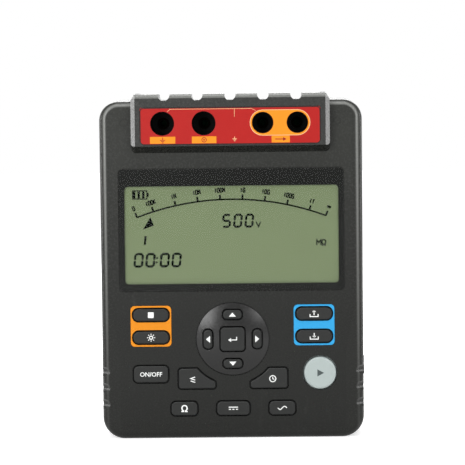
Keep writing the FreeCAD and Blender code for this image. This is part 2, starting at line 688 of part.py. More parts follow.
CORNER_SCREWS = both_sides("corner_screw_side", "corner_screw_low", "corner_screw_high")
KEY_BOARD_SCREWS = both_sides(
    "key_board_screw_side", "key_board_screw_low", "key_board_screw_high"
)
MAIN_BOARD_SCREWS = both_sides(
    "main_board_screw_side", "main_board_screw_low", "main_board_screw_high"
)
HIGH_BOARD_SCREWS = both_sides(
    "high_board_screw_side", "high_board_screw_low", "high_board_screw_high"
)
HOOD_SCREWS = both_sides("hood_screw_side", "hood_screw_height")
HOOD_SCREWS.append(("hood_screw_middle", "hood_screw_height"))
COVER_SCREWS = both_sides(
    "cover_screw_side",
    f"({BAY_MIDDLE} - {COVER_SCREW_REACH})",
    f"({BAY_MIDDLE} + {COVER_SCREW_REACH})",
)


# ---------------------------------------------------------------- keys


def key_rectangle(width, height, corner):
    """The outline of a rectangular key, grown on every side."""

    def grown(by, centre=("0", "0")):
        size = (f"({width} + 2 * {by})", f"({height} + 2 * {by})")
        round_corner = f"({corner} + {by})"
        return rectangle(*size, round_corner, round_corner, centre)

    return grown


def key_disc(diameter):
    """The outline of a round key, grown on every side."""

    def grown(by, centre=("0", "0")):
        return discs(f"({diameter} + 2 * {by})", [centre])

    return grown


def key_wedge(hand):
    """The outline of a wedge key, whose slope is an arc about the cursor disc's centre."""

    def grown(by):
        def draw(item):
            outer = f"{hand} * ((wedge_outer - wedge_inner) / 2 + {by})"
            inner = f"-1 * {outer}"
            top = f"((wedge_top - wedge_bottom) / 2 + {by})"
            middle_x = f"{-hand} * (wedge_outer + wedge_inner) / 2"
            middle_y = "(disc_height - (wedge_top + wedge_bottom) / 2)"
            reach = f"(wedge_round - {by})"
            centre = Vector(value(middle_x), value(middle_y), 0)
            radius = value(reach)
            left, right, high = value(outer), value(inner), value(top)
            drop = math.sqrt(radius**2 - (right - centre.x) ** 2)
            run = math.sqrt(radius**2 - (centre.y - high) ** 2)
            tip = Vector(right, centre.y - drop, 0)
            shoulder = Vector(centre.x + hand * run, high, 0)
            ends = [tip, shoulder] if hand > 0 else [shoulder, tip]
            angles = [math.atan2(end.y - centre.y, end.x - centre.x) for end in ends]
            low_outer, low_inner = Vector(left, -high, 0), Vector(right, -high, 0)
            item.addGeometry(Part.LineSegment(low_outer, low_inner))
            item.addGeometry(Part.LineSegment(low_inner, tip))
            item.addGeometry(Part.LineSegment(shoulder, Vector(left, high, 0)))
            item.addGeometry(Part.LineSegment(Vector(left, high, 0), low_outer))
            circle = Part.Circle(centre, Vector(0, 0, 1), radius)
            item.addGeometry(Part.ArcOfCircle(circle, *angles))
            tip_end, shoulder_end = (1, 2) if hand > 0 else (2, 1)
            joined = [(0, 2, 1, 1), (2, 2, 3, 1), (3, 2, 0, 1)]
            joined += [(1, 2, 4, tip_end), (2, 1, 4, shoulder_end)]
            for where in joined:
                item.addConstraint(Sketcher.Constraint("Coincident", *where))
            for side in (0, 2):
                item.addConstraint(Sketcher.Constraint("Horizontal", side))
            for side in (1, 3):
                item.addConstraint(Sketcher.Constraint("Vertical", side))
            constrain(item, "DistanceX", "outer", outer, 3, 1)
            constrain(item, "DistanceX", "inner", inner, 1, 1)
            constrain(item, "DistanceY", "top", top, 2, 1)
            constrain(item, "DistanceY", "bottom", f"-1 * {top}", 0, 1)
            constrain(item, "DistanceX", "middle_x", middle_x, 4, 3)
            constrain(item, "DistanceY", "middle_y", middle_y, 4, 3)
            constrain(item, "Radius", "reach", reach, 4)

        return draw

    return grown


FRAMED = key_rectangle("framed_width", "framed_height", "framed_corner")
POWER = key_rectangle("power_key_width", "power_key_height", "key_corner")
MODE = key_rectangle("mode_width", "mode_key_height", "key_corner")
MODE_MIDDLE = key_rectangle("mode_middle_width", "mode_key_height", "key_corner")
CENTRE = key_rectangle("centre_key_width", "centre_key_height", "centre_key_corner")
ARROW_WIDE = key_rectangle("arrow_long", "arrow_short", "arrow_corner")
ARROW_TALL = key_rectangle("arrow_short", "arrow_long", "arrow_corner")
WEDGE_SIDE = "(wedge_outer + wedge_inner) / 2"
WEDGE_LEVEL = "(wedge_top + wedge_bottom) / 2"

FRAMED_LEFT_KEYS = {
    "key_upper_left": ("-side_column", "framed_upper", FRAMED, "key_proud"),
    "key_lower_left": ("-side_column", "framed_lower", FRAMED, "key_proud"),
}
FRAMED_RIGHT_KEYS = {
    "key_upper_right": ("side_column", "framed_upper", FRAMED, "key_proud"),
    "key_lower_right": ("side_column", "framed_lower", FRAMED, "key_proud"),
}
DISC_KEYS = {
    "key_centre": ("0", "disc_height", CENTRE, "centre_key_proud"),
    "key_up": ("0", "disc_height + arrow_reach", ARROW_WIDE, "arrow_proud"),
    "key_down": ("0", "disc_height - arrow_reach", ARROW_WIDE, "arrow_proud"),
    "key_left": ("-arrow_reach", "disc_height", ARROW_TALL, "arrow_proud"),
    "key_right": ("arrow_reach", "disc_height", ARROW_TALL, "arrow_proud"),
}
PANEL_KEYS = {
    "key_power": ("power_side", "power_height", POWER, "key_proud"),
    "key_mode_left": ("-mode_side", "mode_height", MODE, "key_proud"),
    "key_mode_middle": ("0", "mode_height", MODE_MIDDLE, "key_proud"),
    "key_mode_right": ("mode_side", "mode_height", MODE, "key_proud"),
    "key_start": ("start_side", "start_height", key_disc("start_diameter"), "start_proud"),
}
WEDGE_KEYS = {
    "key_wedge_left": (f"-{WEDGE_SIDE}", WEDGE_LEVEL, key_wedge(-1), "key_proud"),
    "key_wedge_right": (WEDGE_SIDE, WEDGE_LEVEL, key_wedge(1), "key_proud"),
}
KEYS = {**FRAMED_LEFT_KEYS, **FRAMED_RIGHT_KEYS, **DISC_KEYS, **PANEL_KEYS, **WEDGE_KEYS}
KEY_CENTRES = [(side, level) for side, level, outline, proud in KEYS.values()]


def cut_key_openings(body, keys, front, depth):
    """Openings for rectangular and round keys, with the groove round each."""

    def openings(item):
        for side, level, outline, proud in keys.values():
            outline("key_gap", (side, level))(item)

    pocket(body, sketch(body, openings, out=front), depth)


def cut_wedge_openings(body):
    """Openings for the wedge keys, with rounded corners."""
    for side, level, outline, proud in WEDGE_KEYS.values():
        opening = sketch(body, outline("key_gap"), right=side, up=level, out="panel_face")
        pocket(body, opening, "front_wall + stack_clearance")
    round_wedges(body, "wedge_corner + key_gap")


def round_wedges(body, radius, right="0", up="0"):
    """Round the corners of the wedge outlines."""
    low, high = value(f"wedge_bottom - 2 * key_gap - {up}"), value(f"wedge_top + 2 * key_gap - {up}")
    reach = value("wedge_outer + 2 * key_gap")
    near = value("wedge_inner - 2 * key_gap")

    def is_corner(box):
        across = abs(box.XMin + value(right))
        return along_depth(box) and low < box.ZMin < high and near < across < reach

    fillet(body, radius, is_corner)


def build_key(label, side, level, outline, proud):
    """A key: its cap, the flange behind the panel and the stub over the dome."""
    body = new_body(label, right=side, up=level)
    face = f"(panel_face + {proud})"
    pad(body, sketch(body, outline("0"), out=FLANGE_FRONT), f"{face} - {FLANGE_FRONT}")
    if label in WEDGE_KEYS:
        round_wedges(body, "wedge_corner", right=side, up=f"({level})")
    edge = "start_edge" if label == "key_start" else "key_edge"
    fillet(body, edge, at_forward(face))
    flange = sketch(body, outline("key_lip"), out=FLANGE_FRONT)
    pad(body, flange, "key_flange", backward=True)
    stub = sketch(body, discs("key_stub"), out=f"{FLANGE_FRONT} - key_flange / 2")
    pad(body, stub, f"{FLANGE_FRONT} - key_flange / 2 - {STUB_END}", backward=True)


# ---------------------------------------------------------------- shells


def case_outline(inset="0", narrower="0", lower="0"):
    """The outline of the case, drawn in from the sides and the top."""
    width = f"(case_width - 2 * ({inset} + {narrower}))"
    height = f"(case_height - 2 * {inset} - {lower})"
    corners = (f"(top_corner_radius - {inset})", f"(bottom_corner_radius - {inset})")
    return rectangle(width, height, *corners)


def case_loft(body, inset, front, cut):
    """The front shell's outside or inside, leaning in towards the panel."""
    rear = sketch(body, case_outline(inset), up="case_height / 2", out="parting")
    outline = case_outline(inset, "side_draft", "top_draft")
    near = sketch(body, outline, up="(case_height - top_draft) / 2", out=front)
    return loft(body, rear, near, cut)


def raised_panel(body):
    """The panel proper, a step above the shoulders, narrower beside the lower keys."""
    wide = "(case_width / 2 - panel_margin)"
    narrow = f"({wide} - panel_waist)"
    right = [(narrow, "panel_bottom"), (narrow, "waist_low")]
    right += [(wide, "waist_high"), (wide, "panel_top")]
    left = [(f"-1 * {x}", y) for x, y in reversed(right)]
    pad(body, sketch(body, polygon(right + left), out=SHOULDER), "panel_step")


def grip_grooves(body):
    """Grooves across the rounded edges of both sides."""
    slant = "sqrt(0.5)"
    reach = "(front_edge_radius + groove_radius - groove_depth)"
    side_axis = f"(case_width / 2 - side_draft - front_edge_radius + {reach} * {slant})"
    front_axis = f"({SHOULDER} - front_edge_radius + {reach} * {slant})"
    for hand in (-1, 1):
        cutter = body.newObject("PartDesign::SubtractiveCylinder", "Groove")
        cutter.AttachmentSupport = [(origin_feature(body, "XY_Plane"), "")]
        cutter.MapMode = "FlatFace"
        cutter.AttachmentOffset.Rotation = Rotation(Vector(0, 0, 1), Vector(hand, 1, 0))
        half = f"groove_length / 2 * {slant}"
        bind(
            cutter,
            {
                "Radius": "groove_radius",
                "Height": "groove_length",
                "AttachmentOffset.Base.x": f"{hand} * ({side_axis} - {half})",
                "AttachmentOffset.Base.y": f"-{front_axis} - {half}",
                "AttachmentOffset.Base.z": "groove_lowest",
            },
        )
        repeat(body, [cutter], "Z_Axis", "groove_pitch", "groove_count")


def side_scallops(body, depth, outward):
    """Shallow scallops along both sides, in line with the grooves."""
    axis = "(case_width / 2 + scallop_radius - scallop_depth)"
    centres = both_sides(axis, "groove_lowest")
    profile = sketch(body, discs("2 * scallop_radius", centres), out="parting")
    first = pocket(body, profile, depth, outward)
    repeat(body, [first], "Z_Axis", "groove_pitch", "groove_count")


def posts(body, centres, diameter, end):
    """Posts from the front wall back to a forward place."""
    root = f"({INNER_FACE} + front_wall / 2)"
    pad(body, sketch(body, discs(diameter, centres), out=root), f"{root} - {end}", backward=True)


def blind_holes(body, centres, diameter, start, depth):
    """Round holes that go forward from a forward place."""
    pocket(body, sketch(body, discs(diameter, centres), out=start), depth, outward=True)


def front_case():
    """The front shell with its openings, recesses, bosses and posts."""
    body = new_body("front_case")
    case_loft(body, "0", SHOULDER, cut=False)
    fillet(body, "front_edge_radius", at_forward(SHOULDER))
    side_scallops(body, "panel_face - parting", outward=True)
    grip_grooves(body)
    raised_panel(body)
    case_loft(body, "side_wall", INNER_FACE, cut=True)
    cut_wedge_openings(body)
    for keys in (FRAMED_LEFT_KEYS, FRAMED_RIGHT_KEYS, DISC_KEYS, PANEL_KEYS):
        cut_key_openings(body, keys, "panel_face", "front_wall + stack_clearance")
    posts(body, CORNER_SCREWS, "boss_diameter", "parting")
    posts(body, KEY_BOARD_SCREWS, "post_diameter", KEY_BOARD_FACE)
    posts(body, MAIN_BOARD_SCREWS, "post_diameter", MAIN_BOARD_FACE)
    posts(body, HIGH_BOARD_SCREWS, "post_diameter", "high_board_face")
    tapped = "(case_screw_diameter + 2 * thread_clearance)"
    blind_holes(body, CORNER_SCREWS, tapped, "parting", "case_screw_grip + stack_clearance")
    board_hole = "(board_screw_diameter + 2 * thread_clearance)"
    board_grip = "board_screw_grip + stack_clearance"
    blind_holes(body, KEY_BOARD_SCREWS, board_hole, KEY_BOARD_FACE, board_grip)
    blind_holes(body, MAIN_BOARD_SCREWS, board_hole, MAIN_BOARD_FACE, board_grip)
    blind_holes(body, HIGH_BOARD_SCREWS, board_hole, "high_board_face", board_grip)

    lens_hole = rectangle(
        "lens_width + 2 * lens_clearance",
        "lens_height + 2 * lens_clearance",
        "lens_corner + lens_clearance",
    )
    pocket(body, sketch(body, lens_hole, up="lens_middle", out="panel_face"), "lens_recess")
    window = rectangle("window_width", "window_height", "window_corner")
    pocket(body, sketch(body, window, up="window_middle", out="panel_face"), "2 * front_wall")
    frame_hole = rectangle(
        "key_frame_width + 2 * key_frame_clearance",
        "key_frame_height + 2 * key_frame_clearance",
        "key_frame_corner + key_frame_clearance",
    )
    for side in ("-side_column", "side_column"):
        place = {"right": side, "up": "key_frame_middle", "out": "panel_face"}
        pocket(body, sketch(body, frame_hole, **place), "key_frame_recess")
    disc_hole = discs("disc_diameter + 2 * disc_groove")
    pocket(body, sketch(body, disc_hole, up="disc_height", out="panel_face"), "disc_recess")

    def plug_rings(item):
        for diameter in ("plug_diameter", "(plug_diameter - 2 * plug_groove)"):
            discs(diameter, both_sides("plug_side", "plug_height"))(item)

    pocket(body, sketch(body, plug_rings, out="panel_face"), "plug_depth")
    barrels = discs("socket_outer + 2 * socket_clearance", SOCKET_CENTRES)
    pocket(body, sketch(body, barrels, out="panel_face"), "2 * front_wall")
    screws = discs("hood_screw_diameter + 2 * through_clearance", HOOD_SCREWS)
    pocket(body, sketch(body, screws, out="panel_face"), "2 * front_wall")
    shelf = rectangle(
        "hood_width + 2 * hood_fit", "2 * (case_height - hood_shelf_bottom + hood_fit)"
    )
    shelf_depth = "panel_face - hood_back + hood_fit"
    pocket(body, sketch(body, shelf, up="case_height", out="panel_face"), shelf_depth)


def stand_groove(body):
    """The groove in the back for the tilt stand, and the deeper pockets at its eyes."""
    wide = "(stand_width / 2 + stand_clearance)"
    narrow = LUG_OUTSIDE
    bottom = "(stand_bottom - stand_clearance)"
    bar = "(stand_bottom + stand_bar + stand_clearance)"
    top = "(stand_pivot + stand_eye + stand_clearance)"
    right = [(wide, bottom), (wide, top), (narrow, top), (narrow, bar)]
    left = [(f"-1 * {x}", y) for x, y in reversed(right)]
    groove = sketch(body, polygon(right + left), out="-back_face")
    pocket(body, groove, "stand_recess", outward=True)
    width = "(stand_leg + 2 * stand_clearance)"
    height = "(2 * (stand_eye + stand_clearance))"
    depth = "back_face - stand_pivot_back + stand_eye + stand_clearance"
    for hand in (-1, 1):
        side = f"{hand} * (stand_width - stand_leg) / 2"
        place = {"right": side, "up": "stand_pivot", "out": "-back_face"}
        pocket(body, sketch(body, rectangle(width, height), **place), depth, outward=True)


def stand_lugs(body):
    """Blocks behind the pivots, and the lugs that hold the stand's pins."""
    inside = "(back_face - stand_pivot_back + stand_eye + stand_clearance + bay_wall)"
    block = rectangle("stand_leg + 4 * stand_eye", "4 * stand_eye + 2 * stand_clearance")
    lug = rectangle("lug_width", "lug_height")
    for hand in (-1, 1):
        behind = {"right": f"{hand} * (stand_width - stand_leg) / 2", "up": "stand_pivot"}
        inner = sketch(body, block, out=f"-(back_face - {inside})", **behind)
        pad(body, inner, f"{inside} - back_wall / 2", backward=True)
        beside = {"right": f"{hand} * ({LUG_OUTSIDE} - lug_width / 2)", "up": "stand_pivot"}
        root = "(back_face - back_wall)"
        pad(body, sketch(body, lug, out=f"-{root}", **beside), f"lug_back - {root}", backward=True)


def stand_pin_holes(body):
    """A hole for each of the stand's pins, from the outside of its lug."""
    hole = discs("2 * (stand_pin + pin_clearance)")
    depth = "stand_pin_length + stand_clearance"
    for hand in (-1, 1):
        place = {"plane": "YZ_Plane", "right": "stand_pivot_back", "up": "stand_pivot"}
        profile = sketch(body, hole, out=f"{hand} * {LEG_INSIDE}", **place)
        pocket(body, profile, depth, outward=hand < 0)


def side_ports(body):
    """The recess of the port flap, its pivot holes, the port openings and the board's posts."""
    clear = "+ 2 * flap_clearance"
    recess = rectangle(f"flap_width {clear}", f"flap_height {clear}")
    side = {"plane": "YZ_Plane", "right": "flap_middle", "up": "flap_level"}
    pocket(body, sketch(body, recess, out="case_width / 2", **side), FLAP_RECESS)
    jack = rectangle("jack_size + 2 * port_clearance", "jack_size + 2 * port_clearance")
    usb = rectangle("usb_width + 2 * port_clearance", "usb_height + 2 * port_clearance")
    for draw, place in ((jack, "jack_side"), (usb, "usb_side")):
        side["right"] = place
        pocket(body, sketch(body, draw, out="case_width / 2", **side), "2 * side_wall")
    pins = discs("2 * (flap_pin + pin_clearance)")
    spot = {"plane": "XY_Plane", "right": FLAP_AXIS_SIDE, "up": FLAP_AXIS_BACK}
    length = "flap_height + 2 * flap_pin_length + 2 * flap_clearance"
    pocket(body, sketch(body, pins, out="flap_level", **spot), length, both=True)
    root = f"({BAY_SIDE} - bay_wall / 2)"
    reach = "(port_board_height - port_post) / 2 - stack_clearance"
    centres = [("flap_middle", f"flap_level + {hand} * ({reach})") for hand in (-1, 1)]
    stems = sketch(body, discs("port_post", centres), plane="YZ_Plane", out=root)
    pad(body, stems, f"{PORT_BOARD_FACE} - board_thickness - {root}")


def rear_case():
    """The back shell with the battery bay, screw towers, stand groove and side ports."""
    body = new_body("rear_case")
    outline = sketch(body, case_outline(), up="case_height / 2", out="parting")
    pad(body, outline, "parting + back_face", backward=True)
    fillet(body, "back_edge_radius", at_forward("-back_face"))
    hollow = sketch(body, case_outline("side_wall"), up="case_height / 2", out="parting")
    pocket(body, hollow, "parting + back_face - back_wall")
    towers = sketch(body, discs("tower_diameter", CORNER_SCREWS), out="parting")
    pad(body, towers, "parting + back_face - back_wall / 2", backward=True)

    bay = rectangle(f"{BAY_WIDTH} + 2 * bay_wall", f"{BAY_HEIGHT} + 2 * bay_wall")
    bay_front = "(bay_floor - bay_wall)"
    block = sketch(body, bay, up=BAY_MIDDLE, out=f"-{bay_front}")
    pad(body, block, f"back_face - back_wall / 2 - {bay_front}", backward=True)
    edge = "+ 2 * (cover_clearance + bay_wall)"
    rim = rectangle(f"cover_width {edge}", f"{COVER_HEIGHT} {edge}")
    rim_front = f"({COVER_INNER} - stack_clearance - cover_seat)"
    seat = sketch(body, rim, up=BAY_MIDDLE, out=f"-{rim_front}")
    pad(body, seat, f"back_face - back_wall / 2 - {rim_front}", backward=True)
    stand_lugs(body)
    side_ports(body)

    inside = sketch(body, rectangle(BAY_WIDTH, BAY_HEIGHT), up=BAY_MIDDLE, out="-back_face")
    pocket(body, inside, "back_face - bay_floor", outward=True)
    rebate = rectangle(
        "cover_width + 2 * cover_clearance",
        f"{COVER_HEIGHT} + 2 * cover_clearance",
        "cover_corner + cover_clearance",
    )
    cover = sketch(body, rebate, up=BAY_MIDDLE, out="-back_face")
    pocket(body, cover, "cover_thickness + stack_clearance", outward=True)
    cover_hole = "cover_screw_diameter + 2 * thread_clearance"
    grip = "cover_screw_grip + stack_clearance"
    blind_holes(body, COVER_SCREWS, cover_hole, f"-({COVER_INNER} - stack_clearance)", grip)
    stand_groove(body)
    stand_pin_holes(body)

    wells = sketch(body, discs("well_diameter", CORNER_SCREWS), out="-back_face")
    pocket(body, wells, "back_face + parting - well_floor", outward=True)
    plain = discs("case_screw_diameter + 2 * through_clearance", CORNER_SCREWS)
    pocket(body, sketch(body, plain, out="parting"), "2 * well_floor")
    foot = rectangle("pad_width", "pad_height", "pad_corner")
    for hand in (-1, 1):
        place = {"right": f"{hand} * pad_side", "up": "pad_level", "out": "-back_face"}
        pocket(body, sketch(body, foot, **place), "pad_recess", outward=True)
    side_scallops(body, "parting + back_face - back_edge_radius", outward=False)

    def channel(item):
        case_outline("seal_inset")(item)
        case_outline("(seal_inset + seal_width)")(item)

    groove = sketch(body, channel, up="case_height / 2", out="parting")
    pocket(body, groove, "seal_depth")


def case_gasket():
    """The seal between the shells, flush with the back shell's rim."""
    body = new_body("case_gasket")

    def ring(item):
        case_outline("(seal_inset + seal_clearance)")(item)
        case_outline("(seal_inset + seal_width - seal_clearance)")(item)

    profile = sketch(body, ring, up="case_height / 2", out="parting")
    pad(body, profile, "seal_depth - seal_clearance", backward=True)


# ---------------------------------------------------------------- terminals


def terminal_hood():
    """The raised block round the sockets, with a shelf that hooks over the top of the case."""
    body = new_body("terminal_hood")
    tall = "(hood_top - hood_bottom)"
    low = sketch(
        body, rectangle("hood_width", tall), up="(hood_top + hood_bottom) / 2", out="panel_face"
    )
    outline = rectangle("hood_width - 2 * hood_side_slope", f"{tall} - hood_bottom_slope")
    middle = "(hood_top + hood_bottom + hood_bottom_slope) / 2"
    loft(body, low, sketch(body, outline, up=middle, out="hood_front"))
    shelf = rectangle("hood_width", "hood_top - hood_shelf_bottom")
    place = {"up": "(hood_top + hood_shelf_bottom) / 2", "out": "panel_face"}
    pad(body, sketch(body, shelf, **place), "panel_face - hood_back", backward=True)
    level = value("hood_top")
    place = -value("hood_front")

    def is_brow(box):
        flat = abs(box.ZMin - level) < FLAT and abs(box.ZMax - level) < FLAT
        return flat and abs(box.YMin - place) < FLAT and abs(box.YMax - place) < FLAT

    foot = value("hood_bottom")

    def is_low_corner(box):
        return abs(box.ZMin - foot) < FLAT and box.YLength > FLAT and box.XLength > FLAT

    fillet(body, "hood_top_round", is_brow)
    fillet(body, "hood_low_corner", is_low_corner)
    for hand in (-1, 1):
        side = f"{hand} * (hood_width - tab_width) / 2"
        tab = rectangle("tab_width", "2 * tab_height")
        profile = sketch(body, tab, right=side, up="hood_top", out="panel_face")
        pad(body, profile, "panel_face - hood_back", backward=True)
    right = [("hood_width / 2", "hood_top - hood_corner_height")]
    right += [("hood_width / 2", "hood_top + tab_height")]
    right += [("hood_width / 2 - hood_corner_width", "hood_top + tab_height")]
    for hand in (-1, 1):
        corner = [(f"{hand} * ({x})", y) for x, y in right]
        slope = sketch(body, polygon(corner), out="hood_front")
        pocket(body, slope, "hood_front - hood_back + 2 * hood_wall")
    front, beyond = "(hood_front + hood_wall)", "(hood_width / 2 + hood_wall)"
    edge = [(f"{beyond} - hood_side_chamfer - 2 * hood_wall", f"-1 * {front}")]
    edge += [(beyond, f"-1 * {front}"), (beyond, f"hood_side_chamfer + 2 * hood_wall - {front}")]
    for hand in (-1, 1):
        corner = [(f"{hand} * ({x})", y) for x, y in edge]
        chamfer = sketch(body, polygon(corner), plane="XY_Plane", out="hood_top + 2 * tab_height")
        pocket(body, chamfer, "hood_height + 2 * hood_wall")
    span = range(-2, 3)
    notches = [(f"{index} * lead_notch_pitch", "lead_notch_height") for index in span]
    cutter = sketch(body, discs("2 * lead_notch_radius", notches), out="hood_front")
    pocket(body, cutter, "hood_front - hood_back + 2 * hood_wall")

    recess = rectangle(
        "plate_width + 2 * plate_clearance",
        "plate_height + 2 * plate_clearance",
        "plate_upper_corner",
        "plate_corner",
    )
    pocket(body, sketch(body, recess, up="plate_middle", out="hood_front"), "plate_recess")
    hollow = rectangle("plate_width - 2 * hood_wall", "plate_height - hood_wall / 2")
    depth = f"{PLATE_BACK} - hood_wall - panel_face"
    pocket(body, sketch(body, hollow, up="plate_middle", out="panel_face"), depth, outward=True)
    stems = sketch(body, discs("hood_boss_diameter", HOOD_SCREWS), out="panel_face")
    pad(body, stems, f"{depth} + hood_wall / 2")
    grip = "hood_screw_grip + stack_clearance"
    hole = "hood_screw_diameter + 2 * thread_clearance"
    blind_holes(body, HOOD_SCREWS, hole, "panel_face", grip)
    barrels = discs("socket_outer + 2 * socket_clearance", SOCKET_CENTRES)
    pocket(body, sketch(body, barrels, out="hood_front"), "hood_front - panel_face")


def terminal_plate():
    """The coloured plate with the four socket openings."""
    outline = rectangle("plate_width", "plate_height", "plate_upper_corner", "plate_corner")
    front = f"({PLATE_BACK} + plate_thickness)"
    body = plate("terminal_plate", outline, front, "plate_thickness", up="plate_middle")

    def openings(item):
        for side, well in SOCKETS.values():
            discs(f"{well} + 2 * socket_rim", [(side, "socket_height")])(item)

    pocket(body, sketch(body, openings, out=front), "2 * plate_thickness")


def socket(label, side, well):
    """An insulating barrel with a deep well, and a collar behind the front wall."""
    body = new_body(label, right=side, up="socket_height")
    depth = "(socket_well_depth + socket_base)"
    pad(body, sketch(body, discs("socket_outer"), out=PLATE_BACK), depth, backward=True)
    collar = sketch(body, discs("socket_collar"), out=f"{INNER_FACE} - stack_clearance")
    pad(body, collar, "socket_collar_length", backward=True)
    pocket(body, sketch(body, discs(well), out=PLATE_BACK), "socket_well_depth")
    core = sketch(body, discs("contact_outer + 2 * thread_clearance"), out=PLATE_BACK)
    pocket(body, core, f"2 * {depth}")


def socket_contacts():
    """Brass sleeves from the wells' ends to the high-voltage board."""
    sleeves = []
    for label, (side, well) in SOCKETS.items():
        body = new_body(f"{label}_sleeve", right=side, up="socket_height", listed=False)

        def ring(item):
            discs("contact_outer")(item)
            discs("contact_bore")(item)

        profile = sketch(body, ring, out=WELL_END)
        pad(body, profile, f"{WELL_END} - high_board_face", backward=True)
        sleeves.append(body)
    compound("socket_contacts", sleeves)


# ---------------------------------------------------------------- display


def display_lens():
    """The clear lens over the display, a little below the panel."""
    outline = rectangle("lens_width", "lens_height", "lens_corner")
    front = "(panel_face - lens_recess + lens_thickness)"
    plate("display_lens", outline, front, "lens_thickness", up="lens_middle")


def display_stack():
    """The glass, its light panel and the holder that carries both on the main board."""
    width = "(window_width + 2 * glass_margin)"
    height = "(window_height + 2 * glass_margin)"
    layer = rectangle(width, height)
    place = {"up": "window_middle"}
    plate("display_glass", layer, GLASS_FRONT, "glass_thickness", **place)
    plate("backlight_panel", layer, BACKLIGHT_FRONT, "backlight_thickness", **place)
    inside = rectangle(f"{width} + 2 * stack_clearance", f"{height} + 2 * stack_clearance")
    edge = "2 * (stack_clearance + frame_wall)"
    outline = rectangle(f"{width} + {edge}", f"{height} + {edge}")
    depth = f"{GLASS_FRONT} - {MAIN_BOARD_FACE}"
    body = plate("display_holder", outline, GLASS_FRONT, depth, **place)
    tray = sketch(body, inside, out=GLASS_FRONT, **place)
    pocket(body, tray, f"{GLASS_FRONT} - {HOLDER_FLOOR}")


# ---------------------------------------------------------------- keypad


def key_frame(label, side, keys):
    """A coloured frame let into the panel round two keys."""
    outline = rectangle("key_frame_width", "key_frame_height", "key_frame_corner")
    front = "(panel_face - key_frame_recess + key_frame_thickness)"
    place = {"right": side, "up": "key_frame_middle"}
    body = plate(label, outline, front, "key_frame_thickness", **place)
    cut_key_openings(body, keys, front, "2 * key_frame_thickness")


def cursor_disc():
    """The domed disc round the centre key and the arrow keys."""
    body = new_body("cursor_disc", up="disc_height")

    def half(item):
        radius = "disc_diameter / 2"
        floor, rim = "-(panel_face - disc_recess)", "-panel_face"
        top = "-(panel_face + disc_rise)"
        round_radius = f"((({radius}) ^ 2 + disc_rise ^ 2) / (2 * disc_rise))"
        centre = Vector(0, value(top) + value(round_radius), 0)
        reach = value(radius)
        rim_point = Vector(reach, value(rim), 0)
        apex = Vector(0, value(top), 0)
        item.addGeometry(Part.LineSegment(Vector(0, value(floor), 0), Vector(reach, value(floor), 0)))
        item.addGeometry(Part.LineSegment(Vector(reach, value(floor), 0), rim_point))
        item.addGeometry(Part.LineSegment(apex, Vector(0, value(floor), 0)))
        end = math.atan2(rim_point.y - centre.y, rim_point.x)
        circle = Part.Circle(centre, Vector(0, 0, 1), value(round_radius))
        item.addGeometry(Part.ArcOfCircle(circle, -math.pi / 2, end))
        for where in ((0, 2, 1, 1), (1, 2, 3, 2), (3, 1, 2, 1), (2, 2, 0, 1)):
            item.addConstraint(Sketcher.Constraint("Coincident", *where))
        item.addConstraint(Sketcher.Constraint("Horizontal", 0))
        item.addConstraint(Sketcher.Constraint("Vertical", 1))
        item.addConstraint(Sketcher.Constraint("PointOnObject", 0, 1, -2))
        item.addConstraint(Sketcher.Constraint("PointOnObject", 3, 1, -2))
        item.addConstraint(Sketcher.Constraint("PointOnObject", 3, 3, -2))
        constrain(item, "DistanceX", "rim_right", radius, 1, 1)
        constrain(item, "DistanceY", "floor_level", floor, 0, 1)
        constrain(item, "DistanceY", "rim_level", rim, 1, 2)
        constrain(item, "DistanceY", "top_level", top, 3, 1)

    profile = sketch(body, half, plane="XY_Plane")
    turned = body.newObject("PartDesign::Revolution", "Revolution")
    turned.Profile = profile
    turned.ReferenceAxis = (profile, ["V_Axis"])
    turned.Angle = 360
    above = {
        label: (side, f"{level} - disc_height", outline, proud)
        for label, (side, level, outline, proud) in DISC_KEYS.items()
    }
    cut_key_openings(body, above, "panel_face + 2 * disc_rise", "4 * disc_rise + disc_recess")


def clear_bosses(body, front, depth):
    """Notches round the lower corner bosses."""
    low = both_sides("corner_screw_side", "corner_screw_low")
    notches = discs("boss_diameter + 2 * boss_clearance", low)
    pocket(body, sketch(body, notches, out=front), depth)


def key_mat():
    """The sealing mat on the key board, open over the domes."""
    height = "(key_board_top - key_board_bottom - 2 * key_lip)"
    middle = "(key_board_top + key_board_bottom) / 2"
    body = plate(
        "key_mat", rectangle("mat_width", height, "key_board_corner"), MAT_FRONT,
        "mat_thickness", up=middle,
    )
    holes = sketch(body, discs("mat_hole", KEY_CENTRES), out=MAT_FRONT)
    pocket(body, holes, "2 * mat_thickness")
    clear_bosses(body, MAT_FRONT, "2 * mat_thickness")


def key_domes():
    """A snap dome under every key."""
    domes = []
    for index, (side, level) in enumerate(KEY_CENTRES):
        body = new_body(f"dome_{index}", right=side, up=level, listed=False)
        profile = sketch(body, discs("dome_diameter"), out=KEY_BOARD_FACE)
        pad(body, profile, "dome_height")
        domes.append(body)
    compound("key_domes", domes)


# ---------------------------------------------------------------- boards and what they carry


def board(label, width, bottom, top, face, screws, corner="board_corner"):
    """A circuit board with its screw holes."""
    place = {"up": f"({top} + {bottom}) / 2"}
    outline = rectangle(width, f"{top} - {bottom}", corner)
    body = plate(label, outline, face, "board_thickness", **place)
    holes = discs("board_screw_diameter + 2 * through_clearance", screws)
    pocket(body, sketch(body, holes, out=face), "2 * board_thickness")
    return body


